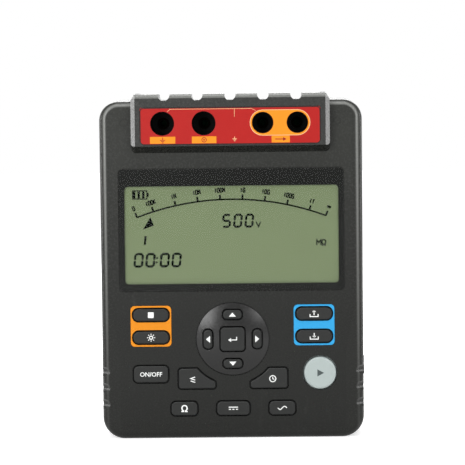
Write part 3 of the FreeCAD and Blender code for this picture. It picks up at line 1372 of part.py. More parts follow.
def boards():
    """The key board, the main board and the high-voltage board."""
    lower = board(
        "key_board", "key_board_width", "key_board_bottom", "key_board_top",
        KEY_BOARD_FACE, KEY_BOARD_SCREWS, "key_board_corner",
    )
    clear_bosses(lower, KEY_BOARD_FACE, "2 * board_thickness")
    board(
        "main_board", "main_board_width", "main_board_bottom", "main_board_top",
        MAIN_BOARD_FACE, MAIN_BOARD_SCREWS,
    )
    board(
        "high_voltage_board", "high_board_width", "high_board_bottom", "high_board_top",
        "high_board_face", HIGH_BOARD_SCREWS,
    )


def screw(name, centre, seat, shank, head, head_height, length):
    """A screw that goes forward from the seat of its head."""
    side, level = centre
    body = new_body(name, right=side, up=level, listed=False)
    pad(body, sketch(body, discs(head), out=seat), head_height, backward=True)
    pad(body, sketch(body, discs(shank), out=f"{seat} - {head_height} / 2"), f"{length} + {head_height} / 2")
    return body


def screw_set(label, groups):
    """One sub-part of equal screws; a group gives its centres, seat and length."""
    screws = []
    for centres, seat, shank, head, head_height, length in groups:
        for centre in centres:
            name = f"{label}_{len(screws)}"
            screws.append(screw(name, centre, seat, shank, head, head_height, length))
    compound(label, screws)


def all_screws():
    """Screws of the case, the boards, the hood and the battery cover."""
    screw_set(
        "case_screws",
        [(
            CORNER_SCREWS, "(parting - well_floor)", "case_screw_diameter", "case_screw_head",
            "case_screw_head_height", "well_floor + case_screw_grip",
        )],
    )
    head = ("board_screw_diameter", "board_screw_head", "board_screw_head_height")
    length = "board_thickness + board_screw_grip"
    screw_set(
        "board_screws",
        [
            (KEY_BOARD_SCREWS, f"({KEY_BOARD_FACE} - board_thickness)", *head, length),
            (MAIN_BOARD_SCREWS, f"({MAIN_BOARD_FACE} - board_thickness)", *head, length),
            (HIGH_BOARD_SCREWS, HIGH_BOARD_BACK, *head, length),
        ],
    )
    screw_set(
        "hood_screws",
        [(
            HOOD_SCREWS, INNER_FACE, "hood_screw_diameter", "hood_screw_head",
            "hood_screw_head_height", "front_wall + hood_screw_grip",
        )],
    )
    screw_set(
        "battery_cover_screws",
        [(
            COVER_SCREWS, "-(back_face - cover_screw_head_height)", "cover_screw_diameter",
            "cover_screw_head", "cover_screw_head_height",
            "cover_thickness - cover_screw_head_height + cover_screw_grip",
        )],
    )


def board_chips():
    """Chips on the back of the main board and of the key board."""
    body = new_body("board_chips")
    square = rectangle("chip_side", "chip_side")
    back = f"({MAIN_BOARD_FACE} - board_thickness)"
    first = sketch(body, square, right="-chip_pitch", up="lens_middle", out=back)
    chip = pad(body, first, "chip_height", backward=True)
    repeat(body, [chip], "X_Axis", "chip_pitch", "chip_count")
    key_back = f"({KEY_BOARD_FACE} - board_thickness)"
    lower = sketch(body, square, right="-chip_pitch", up="disc_height", out=key_back)
    pad(body, lower, "chip_height", backward=True)


def transformer():
    """The high-voltage transformer: a core with two windows, and the winding on its middle limb."""
    core = new_body("transformer_core")
    front = f"({HIGH_BOARD_BACK} - winding_depth)"
    place = {"up": "transformer_middle", "out": front}
    block = sketch(core, rectangle("transformer_width", "transformer_height"), **place)
    pad(core, block, "transformer_depth", backward=True)
    window = "(transformer_width / 2 - 2 * transformer_limb)"
    opening = rectangle(window, "transformer_height - 2 * transformer_limb")
    for hand in (-1, 1):
        side = f"{hand} * (transformer_width - 2 * transformer_limb - {window}) / 2"
        pocket(core, sketch(core, opening, right=side, **place), "2 * transformer_depth")

    winding = new_body("transformer_winding")
    gap = "2 * winding_clearance"
    limb = f"(transformer_width - 2 * transformer_limb - 2 * {window})"

    def turns(item):
        across = f"(transformer_width - 2 * transformer_limb - {gap})"
        rectangle(across, "transformer_depth + 2 * winding_depth")(item)
        rectangle(f"{limb} + {gap}", f"transformer_depth + {gap}")(item)

    middle = f"-({front} - transformer_depth / 2)"
    spot = {"plane": "XY_Plane", "up": middle, "out": "transformer_middle"}
    height = f"transformer_height - 2 * transformer_limb - {gap}"
    pad(winding, sketch(winding, turns, **spot), height, both=True)


def high_voltage_parts():
    """Capacitors and relays on the back of the high-voltage board."""
    place = {"up": "transformer_middle", "out": HIGH_BOARD_BACK}
    capacitors = new_body("high_voltage_capacitors")
    can = sketch(capacitors, discs("capacitor_diameter"), right="capacitor_first", **place)
    first = pad(capacitors, can, "capacitor_length", backward=True)
    repeat(capacitors, [first], "X_Axis", "capacitor_pitch", "capacitor_count")
    relays = new_body("relays")
    case = rectangle("relay_width", "relay_height")
    first = pad(
        relays, sketch(relays, case, right="relay_first", **place), "relay_depth", backward=True
    )
    repeat(relays, [first], "X_Axis", "relay_pitch", "relay_count")


def buzzer():
    """The sounder on the back of the key board."""
    body = new_body("buzzer", right="buzzer_side", up="power_height")
    back = f"({KEY_BOARD_FACE} - board_thickness)"
    pad(body, sketch(body, discs("buzzer_diameter"), out=back), "buzzer_height", backward=True)


# ---------------------------------------------------------------- batteries


def cell_side(column):
    """The middle of a column of cells."""
    return f"({column} - (cell_columns - 1) / 2) * (cell_diameter + cell_gap)"


def batteries():
    """Round cells, end to end in columns, each with its tip up."""
    axis = "(bay_floor + cell_gap + cell_diameter / 2)"
    start = "(bay_bottom + spring_length + stack_clearance)"
    body = new_body("batteries")
    place = {"plane": "XY_Plane", "right": cell_side(0), "up": axis}
    can = pad(body, sketch(body, discs("cell_diameter"), out=start, **place), "cell_length")
    tip_start = f"{start} + cell_length"
    tip = pad(body, sketch(body, discs("cell_tip_diameter"), out=tip_start, **place), "cell_tip_length")
    pattern = repeat(body, [can, tip], "X_Axis", "cell_diameter + cell_gap", "cell_columns")
    pattern.Direction2 = (origin_feature(body, "Z_Axis"), [""])
    step = "(cell_length + cell_tip_length + stack_clearance)"
    bind(pattern, {"Length2": f"(cell_rows - 1) * {step}", "Occurrences2": "cell_rows"})


def battery_contacts():
    """A spring under every column of cells and a plate over it."""
    body = new_body("battery_contacts")
    axis = "(bay_floor + cell_gap + cell_diameter / 2)"
    place = {"plane": "XY_Plane", "right": cell_side(0), "up": axis}
    coil = pad(body, sketch(body, discs("spring_diameter"), out="bay_bottom", **place), "spring_length")
    top = f"bay_bottom + {BAY_HEIGHT} - contact_plate"
    blade = rectangle("contact_plate_width", "contact_plate_width")
    upper = pad(body, sketch(body, blade, out=top, **place), "contact_plate")
    repeat(body, [coil, upper], "X_Axis", "cell_diameter + cell_gap", "cell_columns")


def battery_cover():
    """The battery cover with its screw holes and finger ribs."""
    outline = rectangle("cover_width", COVER_HEIGHT, "cover_corner")
    body = plate("battery_cover", outline, f"-{COVER_INNER}", "cover_thickness", up=BAY_MIDDLE)
    heads = discs("cover_screw_head + 2 * through_clearance", COVER_SCREWS)
    sunk = "cover_screw_head_height"
    pocket(body, sketch(body, heads, out="-back_face"), sunk, outward=True)
    shanks = discs("cover_screw_diameter + 2 * through_clearance", COVER_SCREWS)
    pocket(body, sketch(body, shanks, out="-back_face"), "2 * cover_thickness", outward=True)
    rib = rectangle("cover_rib_length", "cover_rib_width", "cover_rib_height")
    lowest = f"{BAY_MIDDLE} + {COVER_HEIGHT} / 4"
    profile = sketch(body, rib, up=lowest, out="-(back_face - cover_rib_height)")
    first = pad(body, profile, "2 * cover_rib_height", backward=True)
    repeat(body, [first], "Z_Axis", "cover_rib_pitch", "cover_rib_count")


# ---------------------------------------------------------------- tilt stand and pads


def tilt_stand():
    """A U-shaped stand, hung from two pins at its upper ends."""
    body = new_body("tilt_stand")
    height = "(stand_pivot - stand_bottom)"
    outline = rectangle("stand_width", height, "stand_eye / 2", "stand_corner")
    middle = "(stand_pivot + stand_bottom) / 2"
    slab = sketch(body, outline, up=middle, out=f"-{STAND_FRONT}")
    pad(body, slab, "stand_thickness", backward=True)
    axis = {"plane": "YZ_Plane", "right": "stand_pivot_back", "up": "stand_pivot"}
    pad(body, sketch(body, discs("2 * stand_eye"), **axis), "stand_width", both=True)
    depth = "4 * (stand_thickness + stand_eye)"
    bar = "(stand_bottom + stand_bar)"
    top = "(stand_pivot + 2 * stand_eye)"
    opening = rectangle(f"2 * {LEG_INSIDE}", f"{top} - {bar}")
    place = {"up": f"({top} + {bar}) / 2", "out": f"-{STAND_FRONT}"}
    pocket(body, sketch(body, opening, **place), depth, both=True)
    pad(body, sketch(body, discs("2 * stand_pin"), **axis), f"2 * {LEG_INSIDE} + stand_leg", both=True)
    between = rectangle(f"2 * ({LEG_INSIDE} - stand_pin_length)", "4 * stand_eye")
    centre = {"up": "stand_pivot", "out": f"-{STAND_FRONT}"}
    pocket(body, sketch(body, between, **centre), depth, both=True)


def rubber_pads():
    """Pads on the upper back, and on the stand's cross bar."""
    seat = "(back_face - pad_recess)"
    body = new_body("rubber_pads")
    gap = "2 * seal_clearance"
    foot = rectangle(f"pad_width - {gap}", f"pad_height - {gap}", "pad_corner")
    for hand in (-1, 1):
        profile = sketch(body, foot, right=f"{hand} * pad_side", up="pad_level", out=f"-{seat}")
        pad(body, profile, f"pad_face - {seat}", backward=True)
    stand = new_body("stand_pads")
    strip = rectangle("stand_pad_width", "stand_pad_height", "stand_pad_height / 4")
    level = "stand_bottom + stand_bar / 2"
    back = f"({STAND_FRONT} + stand_thickness)"
    for hand in (-1, 1):
        profile = sketch(stand, strip, right=f"{hand} * pad_side", up=level, out=f"-{back}")
        pad(stand, profile, f"pad_face - {back}", backward=True)


# ---------------------------------------------------------------- side ports


def port_flap():
    """The rubber flap over the side ports, on two stub pins at its back edge."""
    body = new_body("port_flap")
    face = rectangle("flap_width", "flap_height")
    place = {"plane": "YZ_Plane", "right": "flap_middle", "up": "flap_level"}
    pad(body, sketch(body, face, out=f"{FLAP_OUTSIDE} - flap_thickness", **place), "flap_thickness")
    rear = value("flap_middle + flap_width / 2")
    front = value("flap_middle - flap_width / 2")

    def is_barrel(box):
        return abs(box.YMin - rear) < FLAT and box.XLength < FLAT and box.ZLength > FLAT

    def is_corner(box):
        return abs(box.YMax - front) < FLAT and box.YLength < FLAT and box.XLength > FLAT

    fillet(body, "flap_thickness / 2 - stack_clearance / 4", is_barrel)
    fillet(body, "flap_corner", is_corner)
    lip = rectangle("flap_lip_width", "flap_height - 2 * flap_corner")
    front_edge = "flap_middle - (flap_width - flap_lip_width) / 2 + flap_clearance"
    place["right"] = front_edge
    pad(body, sketch(body, lip, out=f"{FLAP_OUTSIDE} - flap_thickness / 2", **place),
        "flap_lip_height + flap_thickness / 2")
    spot = {"plane": "XY_Plane", "right": FLAP_AXIS_SIDE, "up": FLAP_AXIS_BACK}
    length = "flap_height + 2 * flap_pin_length"
    pad(body, sketch(body, discs("2 * flap_pin"), out="flap_level", **spot), length, both=True)


def ports():
    """The power jack, the data port and the small board behind them."""
    level = {"plane": "YZ_Plane", "up": "flap_level"}
    jack = new_body("power_jack")
    block = rectangle("jack_size", "jack_size")
    pad(jack, sketch(jack, block, right="jack_side", out=PORT_BOARD_FACE, **level), "port_length")

    def bore(item):
        discs("jack_bore")(item)
        discs("jack_pin")(item)

    mouth = sketch(jack, bore, right="jack_side", out=PORT_MOUTH, **level)
    pocket(jack, mouth, "jack_depth")
    usb = new_body("data_port")
    shell = rectangle("usb_width", "usb_height")
    pad(usb, sketch(usb, shell, right="usb_side", out=PORT_BOARD_FACE, **level), "port_length")

    def inside(item):
        rectangle("usb_width - 2 * usb_shell", "usb_height - 2 * usb_shell")(item)
        rectangle("usb_width - 6 * usb_shell", "2 * usb_shell")(item)

    mouth = sketch(usb, inside, right="usb_side", out=PORT_MOUTH, **level)
    pocket(usb, mouth, "jack_depth")
    card = new_body("port_board")
    outline = rectangle("port_board_width", "port_board_height")
    place = {"right": "flap_middle", "out": f"{PORT_BOARD_FACE} - board_thickness"}
    pad(card, sketch(card, outline, **place, **level), "board_thickness")


# ---------------------------------------------------------------- the whole tester


def build():
    """Make every sub-part."""
    front_case()
    rear_case()
    case_gasket()
    terminal_hood()
    terminal_plate()
    for label, (side, well) in SOCKETS.items():
        socket(label, side, well)
    socket_contacts()
    display_lens()
    display_stack()
    key_frame("orange_key_frame", "-side_column", FRAMED_LEFT_KEYS)
    key_frame("blue_key_frame", "side_column", FRAMED_RIGHT_KEYS)
    cursor_disc()
    for label, (side, level, outline, proud) in KEYS.items():
        build_key(label, side, level, outline, proud)
    key_mat()
    key_domes()
    boards()
    board_chips()
    transformer()
    high_voltage_parts()
    buzzer()
    all_screws()
    batteries()
    battery_contacts()
    battery_cover()
    tilt_stand()
    rubber_pads()
    port_flap()
    ports()
    document.recompute()


def check():
    """Stop if any object failed or any sub-part is not a sound shape."""
    for item in document.Objects:
        if {"Invalid", "Error"} & set(item.State):
            raise RuntimeError(f"{item.Name} ({item.Label}) failed")
    for part in SUB_PARTS:
        if part.Shape.isNull() or not part.Shape.isValid():
            raise RuntimeError(f"{part.Label} is not a sound shape")


def write():
    """Write each sub-part to a file of its own."""
    os.makedirs(PARTS_FOLDER, exist_ok=True)
    for part in SUB_PARTS:
        part.Shape.exportStep(os.path.join(PARTS_FOLDER, f"{part.Label}.step"))
        print(f"{part.Label}: {len(part.Shape.Solids)} solid(s), {part.Shape.Volume:.1f} mm3")


build()
check()
write()
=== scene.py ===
"""Looks of a hand-held insulation resistance tester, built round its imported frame.

Everything is in metres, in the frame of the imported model: +X to the right as the panel is read,
+Y from the panel to the back, +Z up. Outlines of printed marks are in millimetres on a face, and
are turned into thin closed meshes. Each sub-assembly is a class: it holds its own sizes, builds
the pieces that the frame leaves plain and dresses the nodes that stay.
"""

import functools
import json
import logging
import math
from dataclasses import dataclass, field
from enum import Enum
from typing import Sequence

import bmesh
import bpy
import numpy as np
from mathutils import Matrix, Vector
from mathutils.geometry import tessellate_polygon


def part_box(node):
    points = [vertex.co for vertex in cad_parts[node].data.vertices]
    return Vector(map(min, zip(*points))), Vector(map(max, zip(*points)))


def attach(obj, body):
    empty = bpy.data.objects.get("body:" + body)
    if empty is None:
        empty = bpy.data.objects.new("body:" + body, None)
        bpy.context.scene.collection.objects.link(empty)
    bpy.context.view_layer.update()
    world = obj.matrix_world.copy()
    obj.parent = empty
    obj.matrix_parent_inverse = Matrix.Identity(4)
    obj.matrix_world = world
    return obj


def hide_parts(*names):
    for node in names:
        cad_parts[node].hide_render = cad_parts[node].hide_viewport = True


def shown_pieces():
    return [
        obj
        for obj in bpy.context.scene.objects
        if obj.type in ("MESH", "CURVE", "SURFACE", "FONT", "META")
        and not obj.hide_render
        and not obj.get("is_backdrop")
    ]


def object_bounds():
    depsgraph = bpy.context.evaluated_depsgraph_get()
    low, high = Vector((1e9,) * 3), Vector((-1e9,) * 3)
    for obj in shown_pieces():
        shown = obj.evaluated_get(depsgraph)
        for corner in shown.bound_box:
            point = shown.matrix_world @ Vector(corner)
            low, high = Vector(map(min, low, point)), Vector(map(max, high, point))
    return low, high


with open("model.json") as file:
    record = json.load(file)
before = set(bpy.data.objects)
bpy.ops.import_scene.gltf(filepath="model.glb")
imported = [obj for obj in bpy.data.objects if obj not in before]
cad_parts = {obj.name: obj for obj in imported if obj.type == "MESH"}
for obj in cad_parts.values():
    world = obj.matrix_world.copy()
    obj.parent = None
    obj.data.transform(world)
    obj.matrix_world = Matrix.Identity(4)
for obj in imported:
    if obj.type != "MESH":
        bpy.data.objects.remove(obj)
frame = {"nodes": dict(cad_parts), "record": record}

LOG = logging.getLogger("tester")
MM = 0.001
ROOT_BODY = "tester"

# How a node's mesh is merged and rounded: metres, then degrees.
MERGE_DISTANCE = 2e-6
FLAT_ANGLE = 0.4
EDGE_ANGLE = 38.0
SMOOTH_ANGLE = 32.0

Point = tuple[float, float]
Colour = tuple[int, int, int]
Faces = Sequence[Sequence[int]]
Loop = np.ndarray
Socket = bpy.types.NodeSocket


# ------------------------------------------------------------------------------- shader helpers


def linear(colour: Colour) -> tuple[float, float, float, float]:
    """Turn a display colour into scene-linear values.

    Args:
        colour: red, green and blue from 0 to 255, as a screen shows them.

    Returns:
        The same colour for a shader socket, with an alpha of 1.
    """
    shares = [channel / 255 for channel in colour]
    bent = [c / 12.92 if c <= 0.04045 else ((c + 0.055) / 1.055) ** 2.4 for c in shares]
    return (*bent, 1.0)


class Graph:
    """A node tree under construction, with short calls for its nodes and links."""

    def __init__(self, tree: bpy.types.NodeTree) -> None:
        """Start with an empty tree."""
        self.tree = tree
        tree.nodes.clear()

    def node(self, kind: str, **settings: object) -> bpy.types.Node:
        """Add a node.

        Args:
            kind: the node's type, such as ShaderNodeMath.
            settings: attributes of the node.

        Returns:
            The new node.
        """
        made = self.tree.nodes.new(kind)
        for name, setting in settings.items():
            setattr(made, name, setting)
        return made

    def feed(self, socket: Socket, source: object) -> None:
        """Feed a socket.

        Args:
            socket: the input.
            source: another socket, which is linked, or a plain value, which is set.
        """
        if isinstance(source, Socket):
            self.tree.links.new(source, socket)
        else:
            socket.default_value = source

    def math(self, operation: str, *sources: object, clamp: bool = False) -> Socket:
        """Add a Math node.

        Args:
            operation: the operation's name.
            sources: sockets or numbers, in the node's order.
            clamp: whether the result is kept between 0 and 1.

        Returns:
            The node's output.
        """
        made = self.node("ShaderNodeMath", operation=operation, use_clamp=clamp)
        for socket, source in zip(made.inputs, sources):
            self.feed(socket, source)
        return made.outputs[0]

    def mix(self, share: object, first: object, second: object) -> Socket:
        """Mix two colours.

        Args:
            share: how much of the second colour.
            first: the first colour.
            second: the second colour.

        Returns:
            The mixed colour.
        """
        made = self.node("ShaderNodeMix", data_type="RGBA")
        self.feed(made.inputs["Factor"], share)
        self.feed(made.inputs["A"], first)
        self.feed(made.inputs["B"], second)
        return made.outputs["Result"]

    def noise(self, vector: Socket, scale: object, detail: float = 2.0) -> Socket:
        """Add a noise texture.

        Args:
            vector: where it is read.
            scale: its scale.
            detail: how many finer layers it has.

        Returns:
            Its value, about 0.5 on average.
        """
        made = self.node("ShaderNodeTexNoise")
        self.feed(made.inputs["Vector"], vector)
        self.feed(made.inputs["Scale"], scale)
        made.inputs["Detail"].default_value = detail
        return made.outputs["Fac"]

    def ramp(self, source: Socket, taken: Point, given: Point = (0.0, 1.0)) -> Socket:
        """Carry a value over from one range to another, and keep it inside that.

        Args:
            source: the value.
            taken: the range that it comes from.
            given: the range that it goes to.

        Returns:
            The carried value.
        """
        made = self.node("ShaderNodeMapRange")
        self.feed(made.inputs["Value"], source)
        for name, value in zip(("From Min", "From Max", "To Min", "To Max"), (*taken, *given)):
            made.inputs[name].default_value = value
        return made.outputs["Result"]

    def side(self, distance: Socket, blur: float) -> Socket:
        """Which side of a border a point is on.

        Args:
            distance: the distance past the border, negative before it.
            blur: the distance over which the answer goes from 0 to 1.

        Returns:
            0 before the border and 1 past it.
        """
        return self.math("MULTIPLY", distance, 1.0 / blur, clamp=True)

    def split(self, vector: Socket) -> Sequence[Socket]:
        """Take a vector apart.

        Args:
            vector: the vector.

        Returns:
            Its X, Y and Z.
        """
        made = self.node("ShaderNodeSeparateXYZ")
        self.feed(made.inputs[0], vector)
        return list(made.outputs)

    def place(self) -> Socket:
        """The piece's own Object coordinates."""
        return self.node("ShaderNodeTexCoord").outputs["Object"]


class Effect(Enum):
    """Shader node groups that several finishes share."""

    GRAIN = "moulded_grain"
    MOTTLE = "colour_mottle"
    SCUFF = "handling_scuffs"
    BRUSH = "brushed_lines"


def group_tree(
    effect: Effect, inputs: Sequence[tuple[str, str, float]], outputs: Sequence[tuple[str, str]]
) -> tuple[Graph, bpy.types.Node, bpy.types.Node]:
    """Make an empty shader node group with named sockets.

    Args:
        effect: which group it is.
        inputs: name, socket type and default of each input; a vector's default is left alone.
        outputs: name and socket type of each output.

    Returns:
        The graph, its Group Input node and its Group Output node.
    """
    tree = bpy.data.node_groups.new(effect.value, "ShaderNodeTree")
    for name, kind, default in inputs:
        socket = tree.interface.new_socket(name, in_out="INPUT", socket_type=kind)
        if kind == "NodeSocketFloat":
            socket.default_value = default
    for name, kind in outputs:
        tree.interface.new_socket(name, in_out="OUTPUT", socket_type=kind)
    graph = Graph(tree)
    return graph, graph.node("NodeGroupInput"), graph.node("NodeGroupOutput")


def make_grain() -> None:
    """Spark-eroded mould texture: fine cells with softer noise over them.

    The height is a share of a cell pattern plus a share of coarser noise, and the roughness
    share is that noise alone.
    """
    cell_share, noise_share, coarser, smoothness = 0.65, 0.35, 0.33, 0.6
    graph, taken, given = group_tree(
        Effect.GRAIN,
        [("Vector", "NodeSocketVector", 0.0), ("Scale", "NodeSocketFloat", 2500.0)],
        [("Height", "NodeSocketFloat"), ("Share", "NodeSocketFloat")],
    )
    cells = graph.node("ShaderNodeTexVoronoi", feature="SMOOTH_F1")
    cells.inputs["Smoothness"].default_value = smoothness
    graph.feed(cells.inputs["Vector"], taken.outputs["Vector"])
    graph.feed(cells.inputs["Scale"], taken.outputs["Scale"])
    coarse = graph.math("MULTIPLY", taken.outputs["Scale"], coarser)
    soft = graph.noise(taken.outputs["Vector"], coarse)
    fine_height = graph.math("MULTIPLY", cells.outputs["Distance"], cell_share)
    soft_height = graph.math("MULTIPLY", soft, noise_share)
    graph.feed(given.inputs["Height"], graph.math("ADD", fine_height, soft_height))
    graph.feed(given.inputs["Share"], soft)


def make_mottle() -> None:
    """Slight unevenness of a colour: its values times one plus a share of clouds and specks."""
    cloud_scale, speck_scale, cloud_share, speck_share = 38.0, 1500.0, 0.7, 0.3
    graph, taken, given = group_tree(
        Effect.MOTTLE,
        [
            ("Vector", "NodeSocketVector", 0.0),
            ("Colour", "NodeSocketColor", 0.0),
            ("Amount", "NodeSocketFloat", 0.1),
        ],
        [("Colour", "NodeSocketColor")],
    )
    clouds = graph.noise(taken.outputs["Vector"], cloud_scale, 3.0)
    specks = graph.noise(taken.outputs["Vector"], speck_scale, 1.0)
    clouds = graph.math("MULTIPLY", clouds, cloud_share)
    specks = graph.math("MULTIPLY", specks, speck_share)
    centred = graph.math("SUBTRACT", graph.math("ADD", clouds, specks), 0.5)
    factor = graph.math("ADD", graph.math("MULTIPLY", centred, taken.outputs["Amount"]), 1.0)
    scaled = graph.node("ShaderNodeVectorMath", operation="SCALE")
    graph.feed(scaled.inputs[0], taken.outputs["Colour"])
    graph.feed(scaled.inputs["Scale"], factor)
    graph.feed(given.inputs["Colour"], scaled.outputs["Vector"])


def make_scuff() -> None:
    """Faint rubbed streaks: stretched noise, kept where it is high, in some patches alone."""
    streak_scale, patch_scale, streak_level, patch_level = 260.0, 30.0, 0.58, 0.5
    graph, taken, given = group_tree(
        Effect.SCUFF,
        [("Vector", "NodeSocketVector", 0.0)],
        [("Mask", "NodeSocketFloat")],
    )
    stretch = graph.node("ShaderNodeMapping")
    stretch.inputs["Scale"].default_value = (1.0, 1.0, 0.25)
    stretch.inputs["Rotation"].default_value = (0.0, 0.6, 0.0)
    graph.feed(stretch.inputs["Vector"], taken.outputs["Vector"])
    streaks = graph.noise(stretch.outputs["Vector"], streak_scale, 4.0)
    patches = graph.noise(taken.outputs["Vector"], patch_scale, 1.0)
    high = graph.side(graph.math("SUBTRACT", streaks, streak_level), 0.2)
    seen = graph.side(graph.math("SUBTRACT", patches, patch_level), 0.25)
    graph.feed(given.inputs["Mask"], graph.math("MULTIPLY", high, seen))


def make_brush() -> None:
    """Fine parallel lines of drawn or turned metal, along X."""
    line_scale, stretching = 3200.0, (0.08, 1.0, 1.0)
    graph, taken, given = group_tree(
        Effect.BRUSH,
        [("Vector", "NodeSocketVector", 0.0)],
        [("Height", "NodeSocketFloat")],
    )
    stretch = graph.node("ShaderNodeMapping")
    stretch.inputs["Scale"].default_value = stretching
    graph.feed(stretch.inputs["Vector"], taken.outputs["Vector"])
    graph.feed(given.inputs["Height"], graph.noise(stretch.outputs["Vector"], line_scale))


# ------------------------------------------------------------------------------------- finishes


@dataclass(frozen=True)
class Finish:
    """A surface finish, built as a procedural material.

    Attributes:
        name: the material's name, which is the record's slot where there is one.
        colour: the display colour.
        roughness: the middle roughness.
        grain: depth of the mould texture in metres, 0 for none.
        grain_scale: cells of that texture in a metre.
        mottle: how much the colour varies.
        scuffs: how much paler the rubbed streaks are.
        metallic: 1 for metal.
        specular: specular level.
        unevenness: how much the roughness varies.
        scuffed: scene-linear colour of a fully rubbed streak.
    """

    name: str
    colour: Colour
    roughness: float = 0.5
    grain: float = 0.0
    grain_scale: float = 2600.0
    mottle: float = 0.12
    scuffs: float = 0.0
    metallic: float = 0.0
    specular: float = 0.25
    unevenness: float = 0.25
    scuffed: tuple[float, float, float, float] = (0.5, 0.5, 0.48, 1.0)

    def colour_source(self, graph: Graph, where: Socket) -> Socket:
        """The base colour before it varies; a finish with zones overrides this.

        Args:
            graph: the material's graph.
            where: the Object coordinates.

        Returns:
            The colour.
        """
        plain = graph.node("ShaderNodeRGB")
        plain.outputs[0].default_value = linear(self.colour)
        return plain.outputs[0]

    def effect(self, graph: Graph, effect: Effect, **sources: object) -> bpy.types.Node:
        """Place a shared node group.

        Args:
            graph: the material's graph.
            effect: which group.
            sources: what feeds each of its inputs.

        Returns:
            The group's node.
        """
        made = graph.node("ShaderNodeGroup", node_tree=bpy.data.node_groups[effect.value])
        for name, source in sources.items():
            graph.feed(made.inputs[name], source)
        return made

    def build(self) -> bpy.types.Material:
        """Make the material.

        Returns:
            A new material, named for this finish.
        """
        material = bpy.data.materials.new(f"{self.name}_finish")
        material.use_nodes = True
        graph = Graph(material.node_tree)
        surface = graph.node("ShaderNodeBsdfPrincipled")
        output = graph.node("ShaderNodeOutputMaterial")
        graph.feed(output.inputs["Surface"], surface.outputs["BSDF"])
        where = graph.place()
        colour = self.colour_source(graph, where)
        mottled = self.effect(graph, Effect.MOTTLE, Vector=where, Colour=colour, Amount=self.mottle)
        colour = mottled.outputs["Colour"]
        grain = self.effect(graph, Effect.GRAIN, Vector=where, Scale=self.grain_scale)
        centred = graph.math("SUBTRACT", grain.outputs["Share"], 0.5)
        spread = graph.math("MULTIPLY", centred, self.unevenness)
        if self.scuffs:
            mask = self.effect(graph, Effect.SCUFF, Vector=where).outputs["Mask"]
            share = graph.math("MULTIPLY", mask, self.scuffs)
            colour = graph.mix(share, colour, self.scuffed)
        graph.feed(surface.inputs["Base Color"], colour)
        graph.feed(surface.inputs["Roughness"], graph.math("ADD", spread, self.roughness, clamp=True))
        height = grain.outputs["Height"]
        if self.metallic:
            height = self.effect(graph, Effect.BRUSH, Vector=where).outputs["Height"]
        if self.grain:
            bump = graph.node("ShaderNodeBump")
            bump.inputs["Distance"].default_value = self.grain
            bump.inputs["Strength"].default_value = 1.0
            graph.feed(bump.inputs["Height"], height)
            graph.feed(surface.inputs["Normal"], bump.outputs["Normal"])
        surface.inputs["Metallic"].default_value = self.metallic
        surface.inputs["Specular IOR Level"].default_value = self.specular
        return material


@dataclass(frozen=True)
class ClearFinish(Finish):
    """A clear sheet: it lets most light straight through and keeps a faint sheen.

    Attributes:
        cover: how much of what lies behind it the sheet hides.
    """

    cover: float = 0.1

    def build(self) -> bpy.types.Material:
        """Make the clear material, with a constant cover.

        Returns:
            A new material, named for this finish.
        """
        material = super().build()
        surface = material.node_tree.nodes["Principled BSDF"]
        surface.inputs["Alpha"].default_value = self.cover
        return material


